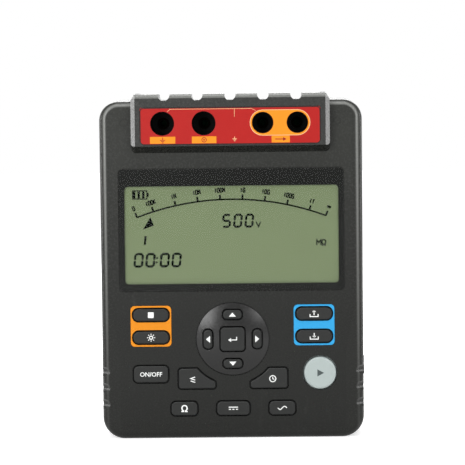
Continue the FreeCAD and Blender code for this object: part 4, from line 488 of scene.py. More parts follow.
@dataclass(frozen=True)
class ShellFinish(Finish):
    """The case plastic: a panel colour, a painted lighter top for light from above, and a painted
    highlight along the rounded front edge.

    Sizes are in metres.

    Attributes:
        panel: display colour of the raised panel.
        wide: half width of the panel.
        narrow: half width beside the lower keys.
        waist: heights between which the panel narrows.
        border: blur of the panel's border.
        lit_top: display colour of the top, a painted lighter tone that stands for light falling from
            above.
        lit_top_heights: heights between which the colour goes over into it.
        painted_highlight: display colour of the painted highlight along the rounded front edge.
        corner: radius of the upper corners of the outline.
        highlight_inset: how far inside the outline the painted highlight is strongest.
        highlight_width: how far from there the painted highlight fades out.
        highlight_depth: how far behind the front the painted highlight reaches.
        highlight_blur: blur of that limit.
        highlight_ends: how far from the foot and the top the line starts and stops to change.
        highlight_shares: how strong the line is at the foot and at the top.
    """

    panel: Colour = (17, 18, 15)
    wide: float = 0.0718
    narrow: float = 0.0662
    waist: tuple[float, float] = (0.0506, 0.0806)
    border: float = 0.00025
    lit_top: Colour = (42, 43, 40)
    lit_top_heights: tuple[float, float] = (0.07, 0.18)
    painted_highlight: Colour = (140, 141, 138)
    corner: float = 0.0115
    highlight_inset: float = 0.0035
    highlight_width: float = 0.0012
    highlight_depth: float = 0.0022
    highlight_blur: float = 1 / 1500
    highlight_ends: float = 0.02
    highlight_shares: tuple[float, float] = (0.08, 0.75)

    def colour_source(self, graph: Graph, where: Socket) -> Socket:
        """Mix the colours by whether the point lies on the panel, by height for the painted lighter top,
        and by the painted highlight line.

        The panel's half width grows in a straight line from narrow to wide between the waist
        heights.

        Args:
            graph: the material's graph.
            where: the Object coordinates.

        Returns:
            The colour.
        """
        x, _, z = parts = graph.split(where)
        half = graph.ramp(z, self.waist, (self.narrow, self.wide))
        room = graph.math("SUBTRACT", half, graph.math("ABSOLUTE", x))
        plain = graph.mix(graph.side(room, self.border), linear(self.colour), linear(self.panel))
        # Painted light: the case goes paler towards the top, as if lit from above.
        plain = graph.mix(graph.ramp(z, self.lit_top_heights), plain, linear(self.lit_top))
        # Painted highlight: a pale line on the rounded front edge, where side light would glint.
        return graph.mix(self.edge_highlight(graph, parts), plain, linear(self.painted_highlight))

    def edge_highlight(self, graph: Graph, parts: Sequence[Socket]) -> Socket:
        """How much painted highlight the rounded front edge gets at a point.

        The distance inside the outline is the corner radius less the length of the part of the
        offset from the corner's centre that points outwards. The line fades with the distance
        from its middle, downwards, and behind the front.

        Args:
            graph: the material's graph.
            parts: X, Y and Z of the point.

        Returns:
            0 where there is none, up to 1 where the painted highlight is strongest.
        """
        low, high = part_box("front_case")
        x, y, z = parts
        across = graph.math("SUBTRACT", graph.math("ABSOLUTE", x), high.x - self.corner)
        up = graph.math("SUBTRACT", z, high.z - self.corner)
        legs = [graph.math("MAXIMUM", leg, 0.0) for leg in (across, up)]
        squares = [graph.math("MULTIPLY", leg, leg) for leg in legs]
        reach = graph.math("SQRT", graph.math("ADD", *squares))
        inside = graph.math("SUBTRACT", self.corner - self.highlight_inset, reach)
        off = graph.math("DIVIDE", graph.math("ABSOLUTE", inside), self.highlight_width)
        near = graph.math("SUBTRACT", 1.0, off, clamp=True)
        ahead = graph.math("SUBTRACT", low.y + self.highlight_depth, y)
        shown = graph.math("MULTIPLY", near, graph.side(ahead, self.highlight_blur))
        share = graph.ramp(z, (self.highlight_ends, high.z - self.highlight_ends), self.highlight_shares)
        return graph.math("MULTIPLY", shown, share)


@dataclass(frozen=True)
class HoodFinish(Finish):
    """The hood's plastic, with a painted highlight along the rounded crest.

    Sizes are in metres.

    Attributes:
        painted_highlight: display colour of the painted highlight on the crest.
        crest_height: how far down from the hood's top the crest reaches.
        crest_depth: how far behind the hood's front it reaches.
        height_blur: blur of the crest's lower limit.
        depth_blur: blur of its rear limit.
    """

    painted_highlight: Colour = (104, 105, 102)
    crest_height: float = 0.0031
    crest_depth: float = 0.00324
    height_blur: float = 0.0005
    depth_blur: float = 1 / 1200

    def colour_source(self, graph: Graph, where: Socket) -> Socket:
        """Mix the two colours by height, on the front alone, for the painted highlight on the crest.

        Args:
            graph: the material's graph.
            where: the Object coordinates.

        Returns:
            The colour.
        """
        low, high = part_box("terminal_hood")
        _, y, z = graph.split(where)
        over = graph.math("SUBTRACT", z, high.z - self.crest_height)
        ahead = graph.math("SUBTRACT", low.y + self.crest_depth, y)
        upper, front = graph.side(over, self.height_blur), graph.side(ahead, self.depth_blur)
        share = graph.math("MULTIPLY", upper, front)
        # Painted highlight: the crest is made paler, as if it caught light from above.
        return graph.mix(share, linear(self.colour), linear(self.painted_highlight))


@functools.cache
def material_of(finish: Finish) -> bpy.types.Material:
    """The material of a finish, built the first time that it is asked for."""
    return finish.build()


def ink(name: str, colour: Colour, specular: float = 0.2) -> Finish:
    """The finish of a printed mark."""
    return Finish(name, colour, roughness=0.42, mottle=0.08, specular=specular)


class Ink(Enum):
    """Inks of the printed marks, each with its finish."""

    WHITE = ink("ink_white", (236, 238, 236))
    # Painted shade: near black, for the shade in the gap round the terminal plate.
    BLACK = ink("painted_gap_shade", (8, 9, 8))
    SEGMENT = ink("display_segment", (4, 10, 5), specular=0.03)
    ORANGE = ink("ink_orange", (222, 134, 20))
    PALE = ink("ink_pale", (226, 176, 130))
    RED = ink("ink_red", (150, 32, 24))
    SLATE = ink("ink_slate", (70, 78, 78))
    LENS = Finish("lens_print", (11, 13, 10), 0.35, mottle=0.06, specular=0.12)


# The finishes of the record's material slots.
FINISHES: dict[str, Finish] = {
    made.name: made
    for made in (
        ShellFinish("case_plastic", (20, 21, 18), 0.26, grain=1e-6, scuffs=0.03, specular=0.2),
        HoodFinish("hood_plastic", (25, 26, 23), 0.24, grain=1e-6, scuffs=0.02, specular=0.45),
        Finish("key_plastic", (32, 33, 32), 0.36, grain=2e-6, mottle=0.1, specular=0.2),
        Finish("start_key_plastic", (163, 173, 171), 0.4, grain=1e-6, mottle=0.04),
        Finish("disc_plastic", (9, 9, 8), 0.22, grain=1e-6, mottle=0.08, specular=0.34),
        Finish("terminal_red", (160, 16, 11), 0.4, grain=1e-6, mottle=0.06, specular=0.2),
        Finish("frame_orange", (214, 130, 14), 0.38, grain=1e-6, mottle=0.06, specular=0.2),
        Finish("frame_blue", (44, 152, 208), 0.38, grain=1e-6, mottle=0.06, specular=0.2),
        Finish("socket_black", (9, 9, 9), 0.5, grain=1e-6, specular=0.05),
        ClearFinish("lens_clear", (30, 32, 30), 0.08, mottle=0.02, specular=0.5),
        Finish("display_grey", (128, 143, 106), 0.5, mottle=0.05, specular=0.15),
        Finish("light_panel", (225, 228, 215), 0.5),
        Finish("holder_plastic", (34, 34, 36), 0.5, grain=3e-6),
        Finish("mat_rubber", (12, 12, 12), 0.7, grain=4e-6, grain_scale=1800.0, specular=0.15),
        Finish("seal_rubber", (20, 20, 20), 0.65, grain=2e-6, specular=0.2),
        Finish("pad_rubber", (24, 24, 25), 0.72, grain=6e-6, grain_scale=1800.0, mottle=0.2),
        Finish("dome_steel", (190, 190, 188), 0.3, grain=1e-6, metallic=1.0),
        Finish("board_green", (20, 74, 44), 0.5, grain=3e-6, grain_scale=900.0, specular=0.06),
        Finish("chip_black", (22, 22, 24), 0.55, grain=3e-6),
        Finish("ferrite", (48, 46, 46), 0.6, grain=5e-6),
        Finish("copper_winding", (170, 95, 55), 0.35, grain=8e-6, metallic=1.0),
        Finish("capacitor_blue", (35, 60, 120), 0.35),
        Finish("relay_case", (28, 28, 30), 0.4),
        Finish("buzzer_black", (20, 20, 20), 0.5, grain=2e-6),
        # Brass made near black: painted shade for the dark inside of the sockets.
        Finish("contact_brass", (4, 3, 2), 0.5, grain=1e-6, metallic=1.0),
        Finish("contact_steel", (185, 185, 182), 0.32, grain=1e-6, metallic=1.0),
        Finish("screw_steel", (158, 158, 160), 0.34, grain=1e-6, metallic=1.0),
        Finish("cell_jacket", (60, 60, 66), 0.4, grain=1e-6, mottle=0.1),
        Finish("port_steel", (180, 180, 180), 0.3, grain=1e-6, metallic=1.0),
        Finish("jack_black", (18, 18, 18), 0.4),
    )
}
NODE_SLOTS: dict[str, str] = {row["node"]: row["material_slot"] for row in frame["record"]["subparts"]}
NODE_BODIES: dict[str, str] = {
    node: body for body, nodes in frame["record"]["behaviour"]["bodies"].items() for node in nodes
}


# --------------------------------------------------------------------------------------- pieces


def new_piece(name: str, vertices: np.ndarray, faces: Faces) -> bpy.types.Object:
    """Make a mesh object at the origin.

    Args:
        name: the piece's name.
        vertices: an array of points in metres, one row each.
        faces: corner numbers of each face.

    Returns:
        The new object, linked to the scene.
    """
    mesh = bpy.data.meshes.new(name)
    mesh.from_pydata(vertices.tolist(), [], faces)
    mesh.validate()
    mesh.update()
    made = bpy.data.objects.new(name, mesh)
    bpy.context.scene.collection.objects.link(made)
    return made


def mesh_arrays(mesh: bpy.types.Mesh) -> tuple[np.ndarray, Faces]:
    """Read a scratch mesh and remove it.

    Args:
        mesh: the mesh.

    Returns:
        Its points, one row each, and the corner numbers of each face.
    """
    points = np.empty(len(mesh.vertices) * 3)
    mesh.vertices.foreach_get("co", points)
    faces = [list(face.vertices) for face in mesh.polygons]
    bpy.data.meshes.remove(mesh)
    return points.reshape(-1, 3), faces


def paint(piece: bpy.types.Object, finish: Finish) -> None:
    """Give a piece one material."""
    piece.data.materials.clear()
    piece.data.materials.append(material_of(finish))


def dress(*nodes: str) -> None:
    """Give CAD nodes the finishes of their slots."""
    for node in nodes:
        paint(frame["nodes"][node], FINISHES[NODE_SLOTS[node]])


def follow(piece: bpy.types.Object, node: str) -> None:
    """Give a piece the finish, the slot and the body of a node.

    Args:
        piece: the piece.
        node: the CAD node.
    """
    paint(piece, FINISHES[NODE_SLOTS[node]])
    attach(piece, NODE_BODIES[node])


def middle(node: str) -> Vector:
    """The middle of a node's box."""
    low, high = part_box(node)
    return (low + high) / 2


def soften(node: str, width: float) -> None:
    """A moulded copy of a node, with its sharp edges rounded, which stands for the node.

    The copy's doubles are merged, its flat regions are joined, and each edge sharper than
    EDGE_ANGLE gets a two-step round.

    Args:
        node: the CAD node.
        width: width of the round in metres.
    """
    merged = bmesh.new()
    merged.from_mesh(frame["nodes"][node].data)
    bmesh.ops.remove_doubles(merged, verts=merged.verts, dist=MERGE_DISTANCE)
    flat = math.radians(FLAT_ANGLE)
    bmesh.ops.dissolve_limit(merged, angle_limit=flat, verts=merged.verts, edges=merged.edges)
    joined = bpy.data.meshes.new("joined")
    merged.to_mesh(joined)
    merged.free()
    piece = new_piece(f"{node}_moulding", *mesh_arrays(joined))
    rounding = piece.modifiers.new("rounding", "BEVEL")
    rounding.width = width
    rounding.segments = 2
    rounding.limit_method = "ANGLE"
    rounding.angle_limit = math.radians(EDGE_ANGLE)
    rounding.use_clamp_overlap = True
    rounding.miter_outer = "MITER_ARC"
    settle(piece)
    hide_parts(node)
    follow(piece, node)


def settle(piece: bpy.types.Object) -> None:
    """Apply a piece's modifiers and smooth its shading across edges flatter than SMOOTH_ANGLE.

    Each corner's normal is the mean of its faces' normals weighted by their areas, so that flat
    faces stay flat beside their rounded edges.

    Args:
        piece: the piece.
    """
    apply_modifiers(piece)
    piece.data.shade_smooth()
    piece.data.set_sharp_from_angle(angle=math.radians(SMOOTH_ANGLE))
    even = piece.modifiers.new("even_normals", "WEIGHTED_NORMAL")
    even.keep_sharp = True
    apply_modifiers(piece)


def apply_modifiers(piece: bpy.types.Object) -> None:
    """Give a piece the mesh that its modifiers make, and clear them.

    Args:
        piece: the piece.
    """
    graph = bpy.context.evaluated_depsgraph_get()
    final = bpy.data.meshes.new_from_object(piece.evaluated_get(graph))
    piece.modifiers.clear()
    piece.data = final


# ---------------------------------------------------------------------------------------- marks


def arc(centre: Point, radius: float, start: float, end: float, steps: int) -> Loop:
    """Points on a circle: the centre plus the radius times the cosine and sine of each angle.

    Args:
        centre: the circle's centre.
        radius: its radius.
        start: first angle in degrees.
        end: last angle in degrees.
        steps: how many points.

    Returns:
        One row for each point.
    """
    angles = np.radians(np.linspace(start, end, steps))
    return np.asarray(centre) + radius * np.stack([np.cos(angles), np.sin(angles)], axis=1)


def ring(centre: Point, radius: float, steps: int = 48) -> Loop:
    """A closed circle, without its first point again at the end."""
    return arc(centre, radius, 0.0, 360.0, steps + 1)[:-1]


def rounded(width: float, height: float, radius: float, centre: Point = (0.0, 0.0)) -> Loop:
    """A rectangle with quarter circles at its corners, anticlockwise from the lower right.

    Args:
        width: width of the rectangle.
        height: height of the rectangle.
        radius: radius of its corners.
        centre: its centre.

    Returns:
        A closed outline.
    """
    x, y = width / 2 - radius, height / 2 - radius
    turns = ((x, -y, 270), (x, y, 0), (-x, y, 90), (-x, -y, 180))
    quarters = [arc((centre[0] + a, centre[1] + b), radius, t, t + 90, 8) for a, b, t in turns]
    return np.vstack(quarters)


def stroke(path: Sequence[Point] | Loop, width: float) -> Loop:
    """The outline of an open line of even width.

    Each point moves half the width to both sides, along the mean of the normals of the two runs
    that meet there, lengthened by one over the cosine of half the turn, up to a limit.

    Args:
        path: the points of the line.
        width: the width of the line.

    Returns:
        A closed outline, up one side and back down the other.
    """
    smallest_cosine = 0.35
    points = np.asarray(path, float)
    runs = np.diff(points, axis=0)
    runs /= np.linalg.norm(runs, axis=1)[:, None]
    sides = np.stack([-runs[:, 1], runs[:, 0]], axis=1)
    before, after = np.vstack([sides[:1], sides]), np.vstack([sides, sides[-1:]])
    mean = before + after
    mean /= np.linalg.norm(mean, axis=1)[:, None]
    reach = width / 2 / np.clip(np.sum(mean * after, axis=1), smallest_cosine, 1.0)
    offset = mean * reach[:, None]
    return np.vstack([points - offset, (points + offset)[::-1]])


def spin(angle: float) -> np.ndarray:
    """The matrix that turns rows of points anticlockwise by an angle in degrees."""
    c, s = math.cos(math.radians(angle)), math.sin(math.radians(angle))
    return np.array([[c, s], [-s, c]])


class Marks:
    """Flat marks on one face, gathered in millimetres and made into one thin closed mesh."""

    THICKNESS = 0.04
    SUNK_SHARE = 0.4
    LETTER_GAP = 0.52
    CAPITAL_SHARE = 0.69

    def __init__(self) -> None:
        """Start with nothing drawn."""
        self.points: list[np.ndarray] = []
        self.faces: list[list[int]] = []
        self.count = 0

    def add(self, points: np.ndarray, faces: Faces) -> None:
        """Add a closed mesh.

        Args:
            points: rows of right, up and out of the face.
            faces: corner numbers of each face.
        """
        self.points.append(points)
        self.faces.extend([[corner + self.count for corner in face] for face in faces])
        self.count += len(points)

    def region(self, outer: Loop, *holes: Loop) -> "Marks":
        """Fill an outline, less its holes.

        The flat fill is made twice, one facing back and one facing out, and each loop gets a
        wall between the two. A loop's direction is the sign of the sum of the cross products of
        its neighbouring points, and the wall is turned so that it faces away from the fill.

        Args:
            outer: the outline.
            holes: outlines inside it.

        Returns:
            The marks themselves, so that calls can follow each other.
        """
        loops = [np.asarray(loop, float) for loop in (outer, *holes)]
        flat = np.vstack(loops)
        number = len(flat)
        fill = np.array(tessellate_polygon([[Vector((*point, 0.0)) for point in loop] for loop in loops]))
        u, v = flat[fill[:, 1]] - flat[fill[:, 0]], flat[fill[:, 2]] - flat[fill[:, 0]]
        inward = u[:, 0] * v[:, 1] - u[:, 1] * v[:, 0] <= 0
        fill[inward] = fill[inward][:, [0, 2, 1]]
        faces = (fill + number).tolist() + fill[:, ::-1].tolist()
        start = 0
        for index, loop in enumerate(loops):
            following = np.roll(loop, -1, axis=0)
            area = np.sum(loop[:, 0] * following[:, 1] - following[:, 0] * loop[:, 1])
            here = np.arange(start, start + len(loop))
            beside = np.roll(here, -1)
            walls = np.stack([here, beside, beside + number, here + number], axis=1)
            forward = (area > 0) == (index == 0)
            faces += (walls if forward else walls[:, ::-1]).tolist()
            start += len(loop)
        back = np.column_stack([flat, np.zeros(number)])
        front = np.column_stack([flat, np.full(number, self.THICKNESS)])
        self.add(np.vstack([back, front]), faces)
        return self

    def line(self, path: Sequence[Point] | Loop, width: float) -> "Marks":
        """Draw an open line of even width."""
        return self.region(stroke(path, width))

    def circle(self, centre: Point, radius: float, width: float) -> "Marks":
        """Draw a circle of even width about its radius."""
        return self.region(ring(centre, radius + width / 2), ring(centre, radius - width / 2))

    def words(self, text: str, height: float, weight: float) -> "Marks":
        """Write characters, centred on the origin.

        Args:
            text: what is written.
            height: height of a capital.
            weight: how much thicker the strokes are on each side.

        Returns:
            The marks themselves.
        """
        curve = bpy.data.curves.new("writing", "FONT")
        curve.body = text
        curve.size = height / self.CAPITAL_SHARE
        curve.offset = weight
        curve.extrude = self.THICKNESS / 2
        curve.resolution_u = 3
        curve.align_x = "CENTER"
        holder = bpy.data.objects.new("writing", curve)
        bpy.context.scene.collection.objects.link(holder)
        graph = bpy.context.evaluated_depsgraph_get()
        mesh = bpy.data.meshes.new_from_object(holder.evaluated_get(graph))
        points, faces = mesh_arrays(mesh)
        bpy.data.objects.remove(holder)
        self.add(points + [0.0, -height / 2, self.THICKNESS / 2], faces)
        return self

    def letters(self, text: str, size: Point, at: Point, width: float, turn: float = 0.0) -> "Marks":
        """Write letters with plain strokes, as a display does, centred on a point.

        A letter's cell is the size given, the next one starts a gap after it, and the text is
        turned about its centre.

        Args:
            text: what is written, from the letters that LETTERS holds, or an infinity sign.
            size: width and height of a letter.
            at: the centre.
            width: width of the strokes.
            turn: rotation in degrees, anticlockwise.

        Returns:
            The marks themselves.
        """
        pitch = size[0] + self.LETTER_GAP
        wide = len(text) * pitch - self.LETTER_GAP
        turned = spin(turn)
        for index, letter in enumerate(text):
            if letter == "∞":
                self.infinity(size[0], at, width, turned)
                continue
            corner = np.array([index * pitch - wide / 2, -size[1] / 2])
            for path in LETTERS[letter]:
                points = (np.array(path, float) * np.array(size) + corner) @ turned
                self.line(points + np.asarray(at), width)
        return self

    def infinity(self, size: float, at: Point, width: float, turned: np.ndarray) -> None:
        """Draw an infinity sign: two small circles side by side.

        Args:
            size: width of a letter.
            at: the centre.
            width: width of the strokes.
            turned: the matrix that turns the text.
        """
        offset, radius = size * 0.45, size * 0.42
        for side in (-offset, offset):
            centre = np.array([side, 0.0]) @ turned + np.asarray(at)
            self.circle(tuple(centre), radius, width)

    def grow(self, factor: float) -> "Marks":
        """Make everything drawn so far larger about the origin.

        Args:
            factor: how much larger.

        Returns:
            The marks themselves.
        """
        scale = np.array([factor, factor, 1.0])
        self.points = [points * scale for points in self.points]
        return self

    def finish(
        self, name: str, centre: Point, face: float, colour: Ink, body: str = ROOT_BODY
    ) -> None:
        """Make the piece on a face that looks forward.

        Args:
            name: the piece's name.
            centre: where the marks' origin lies, X and Z in metres.
            face: Y of the face in metres.
            colour: the ink.
            body: the CAD body that it rides on.
        """
        right, up, out = (np.vstack(self.points) * MM).T
        sunk = self.THICKNESS * MM * self.SUNK_SHARE
        placed = np.column_stack([right + centre[0], face + sunk - out, up + centre[1]])
        piece = new_piece(name, placed, self.faces)
        paint(piece, colour.value)
        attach(piece, body)


# The strokes of each letter, in a cell 1 wide and 1 high.
LETTERS: dict[str, tuple[tuple[Point, ...], ...]] = {
    "0": (((0, 0), (0, 1)), ((1, 0), (1, 1)), ((0, 1), (1, 1)), ((0, 0), (1, 0))),
    "1": (((0.5, 0), (0.5, 1)),),
    "K": (((0, 0), (0, 1)), ((1, 1), (0.05, 0.5), (1, 0))),
    "M": (((0, 0), (0, 1), (0.5, 0.45), (1, 1), (1, 0)),),
    "G": (
        ((1, 0.78), (0.78, 1), (0.22, 1), (0, 0.78), (0, 0.22), (0.22, 0), (1, 0), (1, 0.48))
        + ((0.5, 0.48),),
    ),
    "T": (((0, 1), (1, 1)), ((0.5, 0), (0.5, 1))),
    "V": (((0, 1), (0.5, 0), (1, 1)),),
    "Ω": (
        ((0, 0), (0.3, 0), (0.3, 0.2), (0.02, 0.45), (0.02, 0.75), (0.3, 1), (0.7, 1))
        + ((0.98, 0.75), (0.98, 0.45), (0.7, 0.2), (0.7, 0), (1, 0)),
    ),
}


class Segment(Enum):
    """The seven bars of a display digit, as end points in a cell 1 wide and 2 high."""

    TOP = ((0.0, 2.0), (1.0, 2.0))
    UPPER_RIGHT = ((1.0, 2.0), (1.0, 1.0))
    LOWER_RIGHT = ((1.0, 1.0), (1.0, 0.0))
    BOTTOM = ((0.0, 0.0), (1.0, 0.0))
    LOWER_LEFT = ((0.0, 0.0), (0.0, 1.0))
    UPPER_LEFT = ((0.0, 1.0), (0.0, 2.0))
    MIDDLE = ((0.0, 1.0), (1.0, 1.0))


LEFT_PAIR = (Segment.UPPER_LEFT, Segment.LOWER_LEFT)
RIGHT_PAIR = (Segment.UPPER_RIGHT, Segment.LOWER_RIGHT)
# The lit bars of the digits that the display shows.
DIGITS: dict[str, tuple[Segment, ...]] = {
    "0": (Segment.TOP, Segment.BOTTOM, *LEFT_PAIR, *RIGHT_PAIR),
    "5": (Segment.TOP, Segment.UPPER_LEFT, Segment.MIDDLE, Segment.LOWER_RIGHT, Segment.BOTTOM),
}


@dataclass(frozen=True)
class Numeral:
    """A style of seven-bar digits.

    Attributes:
        width: width of a digit between the bars' middles.
        height: height between the bars' middles.
        bar: width of a bar.
        pitch: from one digit to the next.
        slant: how far the top leans to the right, as a share of the height.
        bar_gap: what a bar lacks at each end, as a share of its width.
        bar_tip: length of its pointed end, as a share of its width.
        colon_levels: heights of a colon's dots, as shares of the height.
        colon_dot: radius of a dot, as a share of a bar's width.
        colon_back: how far a colon lies before the next digit, as a share of the pitch.
        colon_pitch: room that a colon takes, as a share of the pitch.
    """

    width: float
    height: float
    bar: float
    pitch: float
    slant: float = 0.1
    bar_gap: float = 0.1
    bar_tip: float = 0.3
    colon_levels: tuple[float, ...] = (0.32, 0.68)
    colon_dot: float = 0.42
    colon_back: float = 0.14
    colon_pitch: float = 0.22

    def draw(self, marks: Marks, text: str, at: Point) -> None:
        """Draw digits to the right of a point at their lower left.

        Args:
            marks: the marks that get the digits.
            text: digits and colons.
            at: the lower left of the first digit.
        """
        x, y = at
        for character in text:
            if character == ":":
                for share in self.colon_levels:
                    rise = share * self.height
                    dot = (x - self.pitch * self.colon_back + rise * self.slant, y + rise)
                    marks.region(ring(dot, self.bar * self.colon_dot, 12))
                x += self.pitch * self.colon_pitch
                continue
            for segment in DIGITS[character]:
                self.bar_shape(marks, segment, (x, y))
            x += self.pitch

    def bar_shape(self, marks: Marks, segment: Segment, at: Point) -> None:
        """Draw one bar: a hexagon along its middle line, then leaned over.

        It is shortened at both ends, so that neighbours stay apart.

        Args:
            marks: the marks that get the bar.
            segment: which bar.
            at: the lower left of the digit.
        """
        scale = np.array([self.width, self.height / 2])
        start, end = (np.array(point) * scale for point in segment.value)
        run = (end - start) / np.linalg.norm(end - start)
        side = np.array([-run[1], run[0]]) * self.bar / 2
        gap, tip = run * self.bar * self.bar_gap, run * self.bar * self.bar_tip
        a, b = start + gap, end - gap
        outline = np.array([a, a + tip - side, b - tip - side, b, b - tip + side, a + tip + side])
        outline[:, 0] += outline[:, 1] * self.slant
        marks.region(outline + np.array(at))


def earth_sign(marks: Marks, at: Point, size: float, width: float) -> None:
    """Draw the protective earth sign: a stem over three bars that shorten downwards.

    Args:
        marks: the marks that get the sign.
        at: the middle of its upper bar.
        size: its width.
        width: width of its lines.
    """
    bar_shares, spacing = (1.0, 0.62, 0.25), 0.24
    x, y = at
    marks.line([(x, y + size / 2), (x, y + width / 2)], width)
    for row, share in enumerate(bar_shares):
        half = size / 2 * share
        level = y - row * size * spacing
        marks.line([(x - half, level), (x + half, level)], width)


# ----------------------------------------------------------------------------------- the tester


@dataclass(frozen=True)
class CrossHead:
    """Domed screw heads with a cross recess, which look to the back. Sizes are in millimetres.

    Attributes:
        diameter: diameter of a head.
        dome: height of its middle.
        slot_share: half width of the recess, as a share of the diameter.
        arm_share: length of its arms, as a share of the diameter.
        depth_share: its depth, as a share of the diameter.
        slot_slope: over which distance the recess's side falls.
        arm_slope: over which distance its ends fall.
        foot: how far the head goes down into the screw.
        rings: steps from the middle to the edge.
        turns: steps round the head.
    """

    diameter: float
    dome: float = 0.5
    slot_share: float = 0.075
    arm_share: float = 0.33
    depth_share: float = 0.16
    slot_slope: float = 0.12
    arm_slope: float = 0.25
    foot: float = 0.1
    rings: int = 30
    turns: int = 96

    def points(self) -> np.ndarray:
        """The head's points, in X, towards the back and Z.

        On a grid of radius r and angle, the height is the dome times (1 - (r / R) squared), less
        the recess where the point lies within the slot's half width of either axis and inside
        the arms. A foot ring, the middle of the recess and the middle of the foot follow.

        Returns:
            One row for each point.
        """
        edge, depth = self.diameter / 2, self.diameter * self.depth_share
        slot, arm = self.diameter * self.slot_share, self.diameter * self.arm_share
        radii = edge * np.linspace(0.0, 1.0, self.rings + 1)[1:]
        angles = np.linspace(0.0, 2 * math.pi, self.turns, endpoint=False)
        r, angle = np.meshgrid(radii, angles, indexing="ij")
        x, z = r * np.cos(angle), r * np.sin(angle)
        nearest = np.minimum(np.abs(x), np.abs(z))
        beside = np.clip((slot - nearest) / self.slot_slope + 0.5, 0, 1)
        along = np.clip((arm - r) / self.arm_slope + 0.5, 0, 1)
        rise = self.dome * (1 - (r / edge) ** 2) - depth * beside * along
        shell = np.stack([x, rise, z], axis=2).reshape(-1, 3)
        foot = shell[-self.turns:] * [1, 0, 1] - [0, self.foot, 0]
        middles = np.array([[0.0, self.dome - depth, 0.0], [0.0, -self.foot, 0.0]])
        return np.vstack([shell, foot, middles])

    def faces(self) -> list[list[int]]:
        """The head's faces: quads between the rings, and fans at the recess and the foot.

        Returns:
            Corner numbers of each face.
        """
        here = np.arange((self.rings + 1) * self.turns).reshape(self.rings + 1, self.turns)
        beside = np.roll(here, -1, axis=1)
        quads = np.stack([here[:-1], beside[:-1], beside[1:], here[1:]], axis=2).reshape(-1, 4)
        recess = np.full(self.turns, here.size)
        fans = [[recess, beside[0], here[0]], [recess + 1, here[-1], beside[-1]]]
        return quads.tolist() + np.hstack(fans).T.tolist()

    def build(self, node: str) -> None:
        """Put a head on each of a node's four screws, which stand at the corners of its box.

        Args:
            node: the CAD node.
        """
        low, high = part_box(node)
        reach = self.diameter / 2
        levels = (low.z / MM + reach, high.z / MM - reach)
        across = high.x / MM - reach
        places = [[side * across, high.y / MM, level] for side in (-1, 1) for level in levels]
        points, faces = self.points(), self.faces()
        whole = np.vstack([points + place for place in places]) * MM
        shifts = [index * len(points) for index in range(len(places))]
        numbered = [[corner + shift for corner in face] for shift in shifts for face in faces]
        piece = new_piece(f"{node}_heads", whole, numbered)
        settle(piece)
        follow(piece, node)


@dataclass
class Case:
    """The two shells, their seal and their screws.

    Attributes:
        edge: round of the shells' edges in metres.
        head: the screws' heads.
    """

    edge: float = 0.12 * MM
    head: CrossHead = CrossHead(5.6)

    def build(self) -> None:
        """Round the shells' edges and dress the rest."""
        soften("front_case", self.edge)
        soften("rear_case", self.edge)
        dress("case_gasket", "case_screws")
        self.head.build("case_screws")


